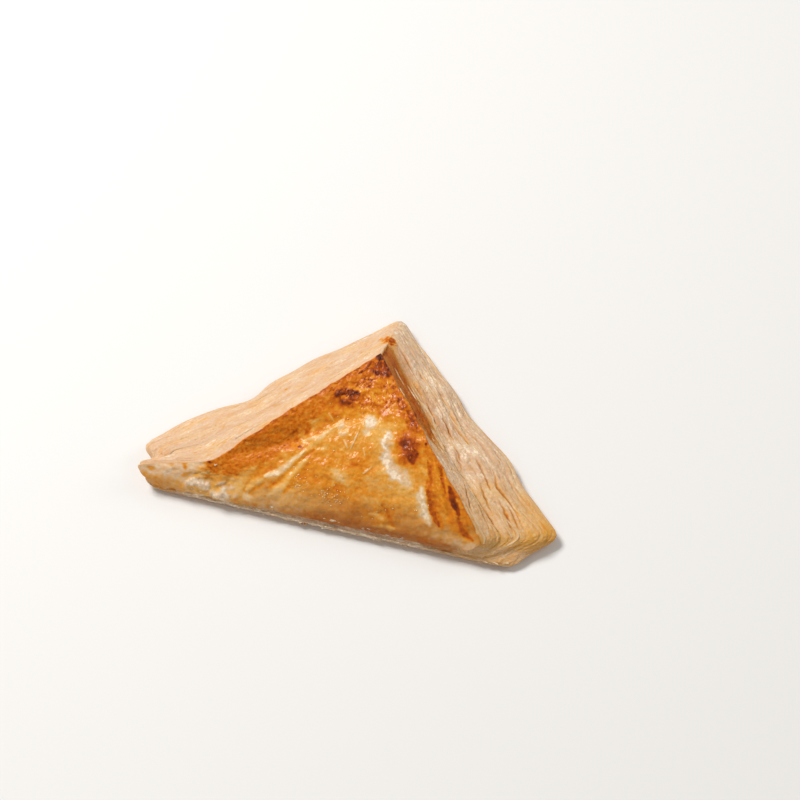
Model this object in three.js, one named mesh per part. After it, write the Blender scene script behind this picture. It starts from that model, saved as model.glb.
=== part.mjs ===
// A baked puff-pastry turnover: a square of laminated dough folded corner to corner into a
// right-angled triangle. The fold is the long, thin front edge. The two cut legs have puffed
// into splayed flanks of leaves, in an upper and a lower sheet with a joint between them.
//
// Units are millimetres. +X runs along the fold, +Y points at the right-angled corner and +Z
// is up. The turnover lies on its flat underside, and the origin is the centre of the
// bounding box's bottom.
import * as THREE from "three";

// ---------------------------------------------------------------- driving dimensions
const LENGTH = 152; // along the fold, over both blunt ends
const DEPTH = 90; // from the fold to the right-angled corner
const FACE_DEPTH = 58; // of the glazed face, from the fold to its own corner
const FACE_LOW = 4; // height of the glazed face where it turns over the fold
const FACE_HIGH = 29.5; // height of the glazed face at the right-angled corner
const RIM_HEIGHT = 4.5; // of the lowest leaf's outer edge on the legs
const LIP_HEIGHT = 2.5; // of the thin pressed lip under the fold
const UNDERCUT = 4; // how far the flat underside stays inside the rim
const JOINT_DEPTH = 1.5; // of the groove between the two sheets
const LEAF_RELIEF = 0.62; // half the height of one leaf's ridge
const LOWER_LEAVES = 7; // ridges on the lower sheet's flank
const UPPER_LEAVES = 4; // ridges on the upper sheet's flank
const CORNER_ROUNDING = 2.6; // reach of the rounding at each corner, along the outline

// ---------------------------------------------------------------- the named stations
// Each level of the turnover is one closed outline through the same six stations. FRONT is the
// fold's line and the origin of y here, and the right-angled corner is at x = 0.
const HALF = LENGTH / 2;
const STATIONS = ["corner", "leftKnee", "leftBack", "leftFront", "rightFront", "rightBack"];

const RIM = {
  corner: [0, DEPTH, RIM_HEIGHT],
  leftKnee: [-69.5, 24.8, RIM_HEIGHT],
  leftBack: [-HALF - 2.5, 15.7, RIM_HEIGHT],
  leftFront: [-HALF + 5, 0, LIP_HEIGHT],
  rightFront: [HALF - 15, 0, LIP_HEIGHT],
  rightBack: [HALF, 15.5, RIM_HEIGHT],
};
const JOINT = {
  corner: [-0.5, DEPTH - 18.5, 17.5],
  leftKnee: [-57, 16.5, 11.5],
  leftBack: [-HALF + 3, 9, 9.5],
  leftFront: [-HALF + 3, 0.4, 6],
  rightFront: [HALF - 24, 0.4, 5],
  rightBack: [HALF - 19, 7.5, 9.5],
};
const CREASE = {
  corner: [0, FACE_DEPTH],
  leftKnee: [-50, 8.5],
  leftBack: [-HALF - 0.5, 4.2],
  leftFront: [-HALF + 3, 0.8],
  rightFront: [HALF - 29.5, 0.8],
  rightBack: [HALF - 26, 3.4],
};
const FACE_CENTRE = [-2, 24]; // where the face's outlines close
const BOW = { rim: 0.4, joint: 2, crease: 1.2 }; // how far the legs' outlines bend inward
const EDGE_COUNTS = [40, 8, 9, 40, 9, 44]; // mesh steps from each station to the next
const BANDS = { under: 2, face: 9 }; // mesh steps under the rim and across the glazed face

// ---------------------------------------------------------------- small helpers
const TURN = 2 * Math.PI;
const mix = (a, b, t) => a + (b - a) * t;
const clamp01 = (t) => Math.min(1, Math.max(0, t));
const smooth = (t) => clamp01(t) ** 2 * (3 - 2 * clamp01(t));
const bell = (d, width) => Math.exp(-((d / width) ** 2));

// Slow unevenness along the outline, between -1 and 1: three waves that don't repeat together.
const WAVES = [
  { share: 0.5, reach: 6.1, shift: 1 },
  { share: 0.3, reach: 2.9, shift: 2.3 },
  { share: 0.2, reach: 11.7, shift: 4.1 },
];
function wander(distance, phase) {
  const wave = ({ share, reach, shift }) => share * Math.sin(distance / reach + shift * phase);
  return WAVES.reduce((sum, each) => sum + wave(each), 0);
}

// ---------------------------------------------------------------- the glazed face's height
// Distance of a point inside the face from a leg's crease, which leaves the corner at an angle
// to the Y axis: side is -1 for the left leg and 1 for the right one.
const LEG_ANGLES = { left: THREE.MathUtils.degToRad(45), right: THREE.MathUtils.degToRad(42.5) };
const fromLeg = (x, y, side, angle) => (FACE_DEPTH - y) * Math.sin(angle) - side * x * Math.cos(angle);

const PUFF = { exponent: 0.52, start: 0.3 }; // the face rises steeply from the fold, then flattens
const LEG_RIM = { height: 2.2, width: 7, rise: 14, fadeFrom: 30, fade: 28 }; // the cut edges puff up
const PILLOW = { height: 2.4, x: 6, y: 22, width: 26, rise: 10 };
const TAIL_VALLEY = { depth: 1.6, x: -52, y: 7, angle: 0.5, width: 3.2, start: 12, length: 46 };

function tailValley(x, y) {
  // One long soft valley from the left end up the face.
  const along =
    (x - TAIL_VALLEY.x) * Math.cos(TAIL_VALLEY.angle) + (y - TAIL_VALLEY.y) * Math.sin(TAIL_VALLEY.angle);
  const across =
    (y - TAIL_VALLEY.y) * Math.cos(TAIL_VALLEY.angle) - (x - TAIL_VALLEY.x) * Math.sin(TAIL_VALLEY.angle);
  const end = 1 - smooth((along - TAIL_VALLEY.length / 2) / TAIL_VALLEY.length);
  return TAIL_VALLEY.depth * smooth(along / TAIL_VALLEY.start) * end * bell(across, TAIL_VALLEY.width);
}

function faceHeight(x, y) {
  const depth = clamp01((y + PUFF.start) / (FACE_DEPTH + PUFF.start));
  const rise = (FACE_HIGH - FACE_LOW) * depth ** PUFF.exponent;
  const legs =
    LEG_RIM.height *
    smooth(y / LEG_RIM.rise) *
    (1 - smooth((y - LEG_RIM.fadeFrom) / LEG_RIM.fade)) *
    (bell(fromLeg(x, y, -1, LEG_ANGLES.left), LEG_RIM.width) +
      bell(fromLeg(x, y, 1, LEG_ANGLES.right), LEG_RIM.width));
  const pillow = PILLOW.height * bell(Math.hypot(x - PILLOW.x, y - PILLOW.y), PILLOW.width);
  return FACE_LOW + rise + legs + pillow * smooth(y / PILLOW.rise) - tailValley(x, y);
}

// ---------------------------------------------------------------- outlines
const edgeLengths = STATIONS.map((name, i) => {
  const [ax, ay] = RIM[name];
  const [bx, by] = RIM[STATIONS[(i + 1) % STATIONS.length]];
  return Math.hypot(bx - ax, by - ay);
});
const PERIMETER = edgeLengths.reduce((sum, length) => sum + length, 0);

// The edge and the fraction along it at a distance round the rim.
function locate(distance) {
  let rest = ((distance % PERIMETER) + PERIMETER) % PERIMETER;
  let edge = 0;
  while (edge < edgeLengths.length - 1 && rest > edgeLengths[edge]) {
    rest -= edgeLengths[edge];
    edge += 1;
  }
  return { edge, t: clamp01(rest / edgeLengths[edge]) };
}

// How much a place on the outline belongs to the cut legs: 1 on a leg, 0 on the fold. At both
// blunt ends it runs from one to the other.
const RIGHT_LEG = STATIONS.indexOf("rightBack");
const LEFT_END = STATIONS.indexOf("leftBack");
const RIGHT_END = STATIONS.indexOf("rightFront");
const END_BLEND = { pace: 1.1, wait: 0.1 };
function legShare(distance) {
  const { edge, t } = locate(distance);
  if (edge < LEFT_END || edge === RIGHT_LEG) return 1;
  if (edge === LEFT_END) return 1 - smooth(t * END_BLEND.pace - END_BLEND.wait);
  if (edge === RIGHT_END) return smooth(t * END_BLEND.pace);
  return 0;
}

function sharpPoint(level, bow, distance) {
  const { edge, t } = locate(distance);
  const a = level[STATIONS[edge]];
  const b = level[STATIONS[(edge + 1) % STATIONS.length]];
  const point = new THREE.Vector3(mix(a[0], b[0], t), mix(a[1], b[1], t), mix(a[2] ?? 0, b[2] ?? 0, t));
  if (edge === 0 || edge === RIGHT_LEG) {
    const inward = new THREE.Vector3(-(b[1] - a[1]), b[0] - a[0], 0).normalize();
    point.addScaledVector(inward, bow * Math.sin(Math.PI * t));
  }
  return point;
}

// The outline with its corners rounded: a weighted mean of nearby points of the sharp one.
const ROUNDING_WEIGHTS = [1 / 16, 4 / 16, 6 / 16, 4 / 16, 1 / 16];
function outlinePoint(level, bow, distance) {
  const sum = new THREE.Vector3();
  ROUNDING_WEIGHTS.forEach((weight, i) => {
    const step = (i - (ROUNDING_WEIGHTS.length - 1) / 2) * CORNER_ROUNDING;
    sum.addScaledVector(sharpPoint(level, bow, distance + step), weight);
  });
  return sum;
}

// Places on the legs where the rim swells or draws in.
const RIM_BULGES = [
  { x: -49, y: 41, out: -3.2 },
  { x: -24, y: 69, out: 1.2 },
  { x: 50.5, y: 44, out: 1.9 },
];
const BULGE_WIDTH = 10;
const RIM_SWAY = { reach: 0.7, phase: 0.4 }; // slow unevenness of the rim, outward
const JOINT_SWAY = { reach: 0.6, phase: 1.9 }; // and of the joint, up and down

function rimPoint(distance) {
  const point = outlinePoint(RIM, BOW.rim, distance);
  const bulge = RIM_BULGES.reduce(
    (sum, { x, y, out }) => sum + out * bell(Math.hypot(point.x - x, point.y - y), BULGE_WIDTH),
    0,
  );
  const swell = RIM_SWAY.reach * legShare(distance) * wander(distance, RIM_SWAY.phase) + bulge;
  const outward = new THREE.Vector3(point.x, point.y - FACE_CENTRE[1], 0).normalize();
  return point.addScaledVector(outward, swell);
}

function basePoint(distance) {
  const rim = rimPoint(distance);
  const inward = new THREE.Vector3(FACE_CENTRE[0] - rim.x, FACE_CENTRE[1] - rim.y, 0);
  inward.multiplyScalar(UNDERCUT / inward.length());
  return rim.add(inward).setZ(0);
}

function jointPoint(distance) {
  const point = outlinePoint(JOINT, BOW.joint, distance);
  point.z += JOINT_SWAY.reach * legShare(distance) * wander(distance, JOINT_SWAY.phase);
  return point;
}

function creasePoint(distance) {
  const point = outlinePoint(CREASE, BOW.crease, distance);
  return point.setZ(faceHeight(point.x, point.y));
}

// ---------------------------------------------------------------- the surface
// A place on the surface is a distance round the rim and a level: 0 is the underside's edge,
// 1 the rim, 2 the joint, 3 the crease and 4 the centre of the face.
const LIP_RECESS = { depth: 1.3, place: 0.42, width: 0.17 }; // between the lip and the fold's round
const END_NOTCH = { depth: 3.4, y: 9.4, width: 2.7, reach: 14, fade: 6 }; // parts the sheets' tips
const SWELL = { lower: 1.5, upper: 0.9, fold: 0.6 }; // how far each stretch bulges between levels
const SWELL_LIFT = { leg: 0.8, fold: 0.1 }; // how steeply upward it bulges

function bulged(from, to, t, swell, lift) {
  const outward = new THREE.Vector3(from.x - FACE_CENTRE[0], from.y - FACE_CENTRE[1], 0).normalize();
  outward.setZ(lift).normalize();
  return from.clone().lerp(to, t).addScaledVector(outward, swell * Math.sin(Math.PI * t));
}

// On the cut legs each sheet has its own bulge, above and below the joint.
function flankPoint(distance, level) {
  const joint = jointPoint(distance);
  if (level <= 2) return bulged(rimPoint(distance), joint, level - 1, SWELL.lower, SWELL_LIFT.leg);
  return bulged(joint, creasePoint(distance), level - 2, SWELL.upper, SWELL_LIFT.leg);
}

// Along the fold the dough turns over in one round from the face down to the thin pressed lip,
// which stands a little in front of it.
function foldPoint(distance, level) {
  const t = (level - 1) / 2;
  const point = bulged(rimPoint(distance), creasePoint(distance), t, SWELL.fold, SWELL_LIFT.fold);
  const inward = new THREE.Vector3(FACE_CENTRE[0] - point.x, FACE_CENTRE[1] - point.y, 0).normalize();
  return point.addScaledVector(inward, LIP_RECESS.depth * bell(t - LIP_RECESS.place, LIP_RECESS.width));
}

// The left end is drawn in where the two sheets part.
function notched(point) {
  const inside = smooth((END_NOTCH.reach - HALF - point.x) / END_NOTCH.fade);
  point.x += END_NOTCH.depth * inside * bell(point.y - END_NOTCH.y, END_NOTCH.width);
  return point;
}

function smoothSurface(distance, level) {
  if (level <= 1) {
    const point = basePoint(distance).lerp(rimPoint(distance), Math.sin((level * Math.PI) / 2));
    return notched(point.setZ(rimPoint(distance).z * (1 - Math.cos((level * Math.PI) / 2))));
  }
  if (level <= 3) {
    return notched(flankPoint(distance, level).lerp(foldPoint(distance, level), 1 - legShare(distance)));
  }
  const t = level - 3;
  const crease = creasePoint(distance);
  const x = mix(crease.x, FACE_CENTRE[0], t);
  const y = mix(crease.y, FACE_CENTRE[1], t);
  return new THREE.Vector3(x, y, faceHeight(x, y));
}

const NUDGE = { along: 0.6, level: 0.05 }; // steps to both sides of a place for its normal
function surfaceNormal(distance, level) {
  const low = Math.max(level - NUDGE.level, 0);
  const high = level + NUDGE.level;
  const after = smoothSurface(distance + NUDGE.along, level);
  const along = after.sub(smoothSurface(distance - NUDGE.along, level));
  const up = smoothSurface(distance, high).sub(smoothSurface(distance, low));
  return new THREE.Vector3().crossVectors(up, along).normalize();
}

// Ridges of the puffed leaves on the cut flanks, and the groove between the two sheets. Each
// leaf swells and fades in its own way, and steps out over or in under its neighbours.
const LEAF_OWN = { mean: 0.65, change: 0.5, pace: 0.8, shift: 1.3, upperShift: 5 };
const LEAF_STEP = { reach: 0.5, pace: 0.45, shift: 2.1, phase: 0.7 };
const GROOVE_WIDTH = 0.07; // in levels
function leafRelief(distance, level) {
  if (level <= 1 || level >= 3) return 0;
  const lower = level < 2;
  const across = lower ? level - 1 : level - 2;
  const leaves = lower ? LOWER_LEAVES : UPPER_LEAVES;
  const ridge = -Math.cos(TURN * leaves * across);
  const leaf = Math.floor(leaves * across);
  const shift = LEAF_OWN.shift * leaf + (lower ? 0 : LEAF_OWN.upperShift);
  const own = LEAF_OWN.mean + LEAF_OWN.change * wander(distance * LEAF_OWN.pace, shift);
  const place = LEAF_STEP.shift * leaf + LEAF_STEP.phase;
  const step = LEAF_STEP.reach * wander(distance * LEAF_STEP.pace, place);
  const groove = -JOINT_DEPTH * bell(level - 2, GROOVE_WIDTH);
  const ends = smooth(across * leaves) * smooth((1 - across) * leaves);
  return legShare(distance) * (ends * (LEAF_RELIEF * own * ridge + step) + groove);
}

function surfacePoint(distance, level) {
  const point = smoothSurface(distance, level);
  const relief = leafRelief(distance, level);
  return relief === 0 ? point : point.addScaledVector(surfaceNormal(distance, level), relief);
}

// ---------------------------------------------------------------- the mesh
function ringDistances() {
  const distances = [];
  let start = 0;
  EDGE_COUNTS.forEach((count, edge) => {
    for (let i = 0; i < count; i += 1) distances.push(start + (edgeLengths[edge] * i) / count);
    start += edgeLengths[edge];
  });
  return distances;
}

function ringLevels() {
  const levels = [];
  for (let i = 0; i < BANDS.under; i += 1) levels.push(i / BANDS.under);
  for (let i = 0; i < 2 * LOWER_LEAVES; i += 1) levels.push(1 + i / (2 * LOWER_LEAVES));
  for (let i = 0; i < 2 * UPPER_LEAVES; i += 1) levels.push(2 + i / (2 * UPPER_LEAVES));
  for (let i = 0; i < BANDS.face; i += 1) levels.push(3 + i / BANDS.face);
  return levels;
}

function turnoverGeometry() {
  const distances = ringDistances();
  const levels = ringLevels();
  const count = distances.length;
  const positions = [];
  levels.forEach((level) => {
    distances.forEach((distance) => positions.push(...surfacePoint(distance, level).toArray()));
  });
  const under = positions.length / 3;
  positions.push(FACE_CENTRE[0], FACE_CENTRE[1], 0);
  const top = under + 1;
  positions.push(...FACE_CENTRE, faceHeight(...FACE_CENTRE));

  const index = [];
  for (let i = 0; i < count; i += 1) {
    const next = (i + 1) % count;
    const last = (levels.length - 1) * count;
    index.push(under, next, i);
    index.push(top, last + i, last + next);
    for (let ring = 0; ring < levels.length - 1; ring += 1) {
      const low = ring * count;
      const high = low + count;
      index.push(low + i, low + next, high + next);
      index.push(low + i, high + next, high + i);
    }
  }
  const geometry = new THREE.BufferGeometry();
  geometry.setAttribute("position", new THREE.Float32BufferAttribute(positions, 3));
  geometry.setIndex(index);
  geometry.computeBoundingBox();
  const centre = geometry.boundingBox.getCenter(new THREE.Vector3());
  geometry.translate(-centre.x, -centre.y, 0);
  geometry.computeVertexNormals();
  return geometry;
}

// ---------------------------------------------------------------- the part
const bakedPastry = new THREE.MeshStandardMaterial({ color: 0xdca768, roughness: 0.55, metalness: 0 });

const turnover = new THREE.Mesh(turnoverGeometry(), bakedPastry);
turnover.name = "turnover";

const part = new THREE.Group();
part.name = "turnover_pastry";
part.add(turnover);

export default part;
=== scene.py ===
"""A baked puff-pastry turnover: two puffed sheets of leaves, a glazed crust, loose leaves and crumbs.

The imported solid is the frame. Its node is replaced by the lower and upper sheets with their cut,
splayed legs, the glazed crust over them, and the thin leaves, frays and crumbs that stand on them.
Shapes are worked out in millimetres in the dough's own frame, with the fold along X at y = 0 and
the right-angled corner at x = 0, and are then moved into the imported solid's place in metres.
"""

import logging
import math
from dataclasses import dataclass, field
from enum import Enum

import bpy
import numpy as np
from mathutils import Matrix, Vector


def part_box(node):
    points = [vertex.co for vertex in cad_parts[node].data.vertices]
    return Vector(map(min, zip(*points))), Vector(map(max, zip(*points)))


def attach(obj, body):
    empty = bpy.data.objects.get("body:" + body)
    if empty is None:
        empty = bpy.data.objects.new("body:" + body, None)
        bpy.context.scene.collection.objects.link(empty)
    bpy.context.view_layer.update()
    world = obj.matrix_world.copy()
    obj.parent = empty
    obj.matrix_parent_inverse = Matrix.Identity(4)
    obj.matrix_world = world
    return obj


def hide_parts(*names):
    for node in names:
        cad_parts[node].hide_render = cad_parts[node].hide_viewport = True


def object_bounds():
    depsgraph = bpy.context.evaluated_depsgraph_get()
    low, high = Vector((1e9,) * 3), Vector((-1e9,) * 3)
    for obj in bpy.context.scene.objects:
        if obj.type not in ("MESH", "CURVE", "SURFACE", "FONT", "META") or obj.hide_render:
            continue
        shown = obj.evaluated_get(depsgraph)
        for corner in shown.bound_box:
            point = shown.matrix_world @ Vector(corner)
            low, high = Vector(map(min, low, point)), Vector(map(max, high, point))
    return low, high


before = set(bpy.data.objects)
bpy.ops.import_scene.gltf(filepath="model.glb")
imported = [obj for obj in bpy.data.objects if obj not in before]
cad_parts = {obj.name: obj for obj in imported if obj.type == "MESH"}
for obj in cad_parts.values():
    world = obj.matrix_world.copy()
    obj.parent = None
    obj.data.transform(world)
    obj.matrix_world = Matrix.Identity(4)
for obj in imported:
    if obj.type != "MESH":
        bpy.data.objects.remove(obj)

CAD_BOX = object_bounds()
MM = 0.001
BODY = "root"
NODE = "turnover"

log = logging.getLogger("turnover")
Array = np.ndarray
Socket = bpy.types.NodeSocket


# ---------------------------------------- number helpers
def smooth(t: Array | float) -> Array:
    """A soft step from 0 at t = 0 to 1 at t = 1."""
    t = np.clip(t, 0, 1)
    return t * t * (3 - 2 * t)


def bell(distance: Array | float, width: float) -> Array:
    """A bump that is 1 at no distance and fades over the width."""
    return np.exp(-((distance / width) ** 2))


def mix(a: Array, b: Array, t: Array | float) -> Array:
    """A blend from a at t = 0 to b at t = 1."""
    return a + (b - a) * t


def wander(distance: Array, phase: float | Array) -> Array:
    """Slow unevenness along the outline, between -1 and 1.

    Args:
        distance: distances round the rim.
        phase: what shifts the waves.

    Returns:
        The unevenness.
    """
    return (
        0.5 * np.sin(distance / 6.1 + phase)
        + 0.3 * np.sin(distance / 2.9 + 2.3 * phase)
        + 0.2 * np.sin(distance / 11.7 + 4.1 * phase)
    )


class Grain:
    """Seeded gradient noise in the plane, worked out on whole arrays."""

    TABLE = 256

    def __init__(self, seed: int) -> None:
        """Shuffles the lattice.

        Args:
            seed: number that fixes the pattern.
        """
        rng = np.random.default_rng(seed)
        self.order = rng.permutation(self.TABLE)
        angles = rng.uniform(0, 2 * math.pi, self.TABLE)
        self.gx = np.cos(angles)
        self.gy = np.sin(angles)

    def at(self, x: Array, y: Array) -> Array:
        """One octave of noise.

        Args:
            x: first coordinate, in lattice steps.
            y: second coordinate, in lattice steps.

        Returns:
            Values of about -1 to 1.
        """
        x, y = np.broadcast_arrays(np.asarray(x, float), np.asarray(y, float))
        xi, yi = np.floor(x).astype(int), np.floor(y).astype(int)
        xf, yf = x - xi, y - yi
        u = xf**3 * (xf * (xf * 6 - 15) + 10)
        v = yf**3 * (yf * (yf * 6 - 15) + 10)

        def corner(dx: int, dy: int) -> Array:
            """The pull of one lattice corner.

            Args:
                dx: 0 or 1, the corner across the cell.
                dy: 0 or 1, the corner up the cell.

            Returns:
                The corner's share of the value.
            """
            row = self.order[(xi + dx) % self.TABLE]
            cell = self.order[(row + yi + dy) % self.TABLE]
            return self.gx[cell] * (xf - dx) + self.gy[cell] * (yf - dy)

        low = mix(corner(0, 0), corner(1, 0), u)
        high = mix(corner(0, 1), corner(1, 1), u)
        return 1.5 * mix(low, high, v)

    def layered(self, x: Array, y: Array, octaves: int = 3) -> Array:
        """Several octaves, each half as large and as strong as the last.

        Args:
            x: places across.
            y: places up.
            octaves: how many are added up.

        Returns:
            Values about zero.
        """
        total = np.zeros(np.broadcast(x, y).shape)
        for i in range(octaves):
            total = total + self.at(x * 2**i + 17.3 * i, y * 2**i - 9.1 * i) / 2**i
        return total

    def ridged(self, x: Array, y: Array) -> Array:
        """Thin raised lines: 1 on a line, falling to 0."""
        return 1 - np.minimum(1, 2.6 * np.abs(self.at(x, y)))


# ---------------------------------------- the form
class Station(Enum):
    """The named corners of every outline, in order round the turnover."""

    CORNER = 0
    LEFT_KNEE = 1
    LEFT_BACK = 2
    LEFT_FRONT = 3
    RIGHT_FRONT = 4
    RIGHT_BACK = 5


Outline = dict[Station, tuple[float, float, float]]


@dataclass(frozen=True)
class TurnoverForm:
    """The smooth form of the turnover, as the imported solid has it, in millimetres."""

    length: float = 152.0
    depth: float = 90.0
    face_depth: float = 58.0
    face_low: float = 4.0
    face_high: float = 29.5
    rim_height: float = 4.5
    lip_height: float = 2.5
    undercut: float = 4.0
    corner_rounding: float = 2.6
    centre: tuple[float, float] = (-2.0, 24.0)
    rim_bow: float = 0.4
    joint_bow: float = 2.0
    crease_bow: float = 1.2
    rim_bulges: tuple[tuple[float, float, float], ...] = (
        (-49, 41, -3.2),
        (-24, 69, 1.2),
        (50.5, 44, 1.9),
    )
    bulge_width: float = 10.0
    notch: tuple[float, float, float] = (3.4, 9.4, 2.7)
    recess: tuple[float, float, float] = (1.3, 0.42, 0.17)
    puff_exponent: float = 0.52
    puff_start: float = 0.3
    leg_rim: tuple[float, float] = (2.2, 7.0)
    left_leg_angle: float = math.radians(45.0)
    right_leg_angle: float = math.radians(42.5)
    fold_joint: float = 0.75

    @property
    def half(self) -> float:
        """Half of the length along the fold."""
        return self.length / 2

    @property
    def rim(self) -> Outline:
        """The outermost outline, low on the legs and at the pressed lip.

        Returns:
            The line's points.
        """
        h = self.half
        return {
            Station.CORNER: (0, self.depth, self.rim_height),
            Station.LEFT_KNEE: (-69.5, 24.8, self.rim_height),
            Station.LEFT_BACK: (-h - 2.5, 15.7, self.rim_height),
            Station.LEFT_FRONT: (-h + 5, 0, self.lip_height),
            Station.RIGHT_FRONT: (h - 15, 0, self.lip_height),
            Station.RIGHT_BACK: (h, 15.5, self.rim_height),
        }

    @property
    def joint(self) -> Outline:
        """The line where the upper sheet lies on the lower one.

        Returns:
            The line's points.
        """
        h = self.half
        return {
            Station.CORNER: (-0.5, self.depth - 18.5, 17.5),
            Station.LEFT_KNEE: (-57, 16.5, 11.5),
            Station.LEFT_BACK: (-h + 3, 9, 9.5),
            Station.LEFT_FRONT: (-h + 3, 0.4, 6),
            Station.RIGHT_FRONT: (h - 24, 0.4, 5),
            Station.RIGHT_BACK: (h - 19, 7.5, 9.5),
        }

    @property
    def crease(self) -> Outline:
        """The edge of the glazed face; its heights come from the face.

        Returns:
            The line's points.
        """
        h = self.half
        return {
            Station.CORNER: (0, self.face_depth, 0),
            Station.LEFT_KNEE: (-50, 8.5, 0),
            Station.LEFT_BACK: (-h - 0.5, 4.2, 0),
            Station.LEFT_FRONT: (-h + 3, 0.8, 0),
            Station.RIGHT_FRONT: (h - 29.5, 0.8, 0),
            Station.RIGHT_BACK: (h - 26, 3.4, 0),
        }

    @property
    def edge_lengths(self) -> Array:
        """Lengths of the rim's straight edges, from each station to the next."""
        points = np.array([self.rim[s][:2] for s in Station])
        return np.linalg.norm(np.roll(points, -1, axis=0) - points, axis=1)

    @property
    def perimeter(self) -> float:
        """Length once round the rim."""
        return float(self.edge_lengths.sum())

    def start_of(self, station: Station) -> float:
        """Distance round the rim at which a station lies."""
        return float(self.edge_lengths[: station.value].sum())

    def locate(self, distance: Array) -> tuple[Array, Array]:
        """The edge and the fraction along it at a distance round the rim.

        Args:
            distance: distances round the rim.

        Returns:
            The number of the edge and the fraction along it.
        """
        ends = np.cumsum(self.edge_lengths)
        rest = np.mod(distance, self.perimeter)
        edge = np.minimum(np.searchsorted(ends, rest, side="right"), len(ends) - 1)
        start = ends[edge] - self.edge_lengths[edge]
        return edge, np.clip((rest - start) / self.edge_lengths[edge], 0, 1)

    def leg_share(self, distance: Array) -> Array:
        """How much a place belongs to the cut legs: 1 on a leg, 0 on the fold.

        Args:
            distance: distances round the rim.

        Returns:
            Shares from 0 to 1.
        """
        edge, t = self.locate(distance)
        share = np.where((edge <= 1) | (edge == 5), 1, 0)
        share = np.where(edge == 2, 1 - smooth(t * 1.1 - 0.1), share)
        return np.where(edge == 4, smooth(t * 1.1), share)

    def outline(self, line: Outline, bow: float, distance: Array) -> Array:
        """Points of one outline with its corners rounded.

        Args:
            line: the outline's stations.
            bow: how far the legs bend inward.
            distance: distances round the rim.

        Returns:
            An array with x, y and z in its last axis.
        """
        stations = np.array([line[s] for s in Station], float)
        total = np.zeros(np.shape(distance) + (3,))
        for weight, step in zip((1, 4, 6, 4, 1), range(-2, 3)):
            edge, t = self.locate(distance + step * self.corner_rounding)
            a, b = stations[edge], stations[(edge + 1) % len(stations)]
            point = mix(a, b, t[..., None])
            run = (b - a)[..., :2]
            inward = np.stack([-run[..., 1], run[..., 0]], -1) / np.linalg.norm(run, axis=-1)[..., None]
            on_leg = ((edge == 0) | (edge == 5)) * bow * np.sin(np.pi * t)
            point[..., :2] += inward * on_leg[..., None]
            total += point * weight / 16
        return total

    def outward(self, point: Array) -> Array:
        """Level unit vectors away from the face's centre.

        Args:
            point: points with x, y and z in the last axis.

        Returns:
            Unit vectors, as many as points.
        """
        away = np.zeros_like(point)
        away[..., 0] = point[..., 0] - self.centre[0]
        away[..., 1] = point[..., 1] - self.centre[1]
        return away / np.linalg.norm(away, axis=-1)[..., None]

    def rim_point(self, distance: Array) -> Array:
        """Points of the rim, with its slow unevenness.

        Args:
            distance: distances round the rim.

        Returns:
            The points.
        """
        point = self.outline(self.rim, self.rim_bow, distance)
        away = np.zeros_like(point)
        away[..., 0] = point[..., 0]
        away[..., 1] = point[..., 1] - self.centre[1]
        away /= np.linalg.norm(away, axis=-1)[..., None]
        swell = 0.7 * self.leg_share(distance) * wander(distance, 0.4)
        for x, y, out in self.rim_bulges:
            swell = swell + out * bell(np.hypot(point[..., 0] - x, point[..., 1] - y), self.bulge_width)
        return point + away * swell[..., None]

    def base_point(self, distance: Array) -> Array:
        """Points of the flat underside's edge.

        Args:
            distance: distances round the rim.

        Returns:
            The points.
        """
        rim = self.rim_point(distance)
        point = rim - self.outward(rim) * self.undercut
        point[..., 2] = 0
        return point

    def joint_point(self, distance: Array) -> Array:
        """Points of the joint between the two sheets.

        Args:
            distance: distances round the rim.

        Returns:
            The points.
        """
        point = self.outline(self.joint, self.joint_bow, distance)
        point[..., 2] += 0.6 * self.leg_share(distance) * wander(distance, 1.9)
        return point

    def crease_point(self, distance: Array) -> Array:
        """Points of the glazed face's edge.

        Args:
            distance: distances round the rim.

        Returns:
            The points.
        """
        point = self.outline(self.crease, self.crease_bow, distance)
        point[..., 2] = self.face_height(point[..., 0], point[..., 1])
        return point

    def from_left_leg(self, x: Array, y: Array) -> Array:
        """Distance inside the left leg's crease."""
        angle = self.left_leg_angle
        return (self.face_depth - y) * math.sin(angle) + x * math.cos(angle)

    def from_right_leg(self, x: Array, y: Array) -> Array:
        """Distance inside the right leg's crease."""
        angle = self.right_leg_angle
        return (self.face_depth - y) * math.sin(angle) - x * math.cos(angle)

    def tail_valley(self, x: Array, y: Array) -> Array:
        """One long soft valley from the left end up the face.

        Args:
            x: places across.
            y: places up the face.

        Returns:
            The valley's depth.
        """
        c, s = math.cos(0.5), math.sin(0.5)
        along = (x + 52) * c + (y - 7) * s
        across = (y - 7) * c - (x + 52) * s
        run = smooth(along / 12) * (1 - smooth((along - 23) / 46))
        return 1.6 * run * bell(across, 3.2)

    def face_height(self, x: Array, y: Array) -> Array:
        """Height of the glazed face over the underside.

        Args:
            x: places across.
            y: places up the face.

        Returns:
            Heights.
        """
        depth = np.clip((y + self.puff_start) / (self.face_depth + self.puff_start), 0, 1)
        rise = (self.face_high - self.face_low) * depth**self.puff_exponent
        height, width = self.leg_rim
        legs = bell(self.from_left_leg(x, y), width) + bell(self.from_right_leg(x, y), width)
        legs = height * smooth(y / 14) * (1 - smooth((y - 30) / 28)) * legs
        pillow = 2.4 * bell(np.hypot(x - 6, y - 22), 26)
        return self.face_low + rise + legs + pillow * smooth(y / 10) - self.tail_valley(x, y)

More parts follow.
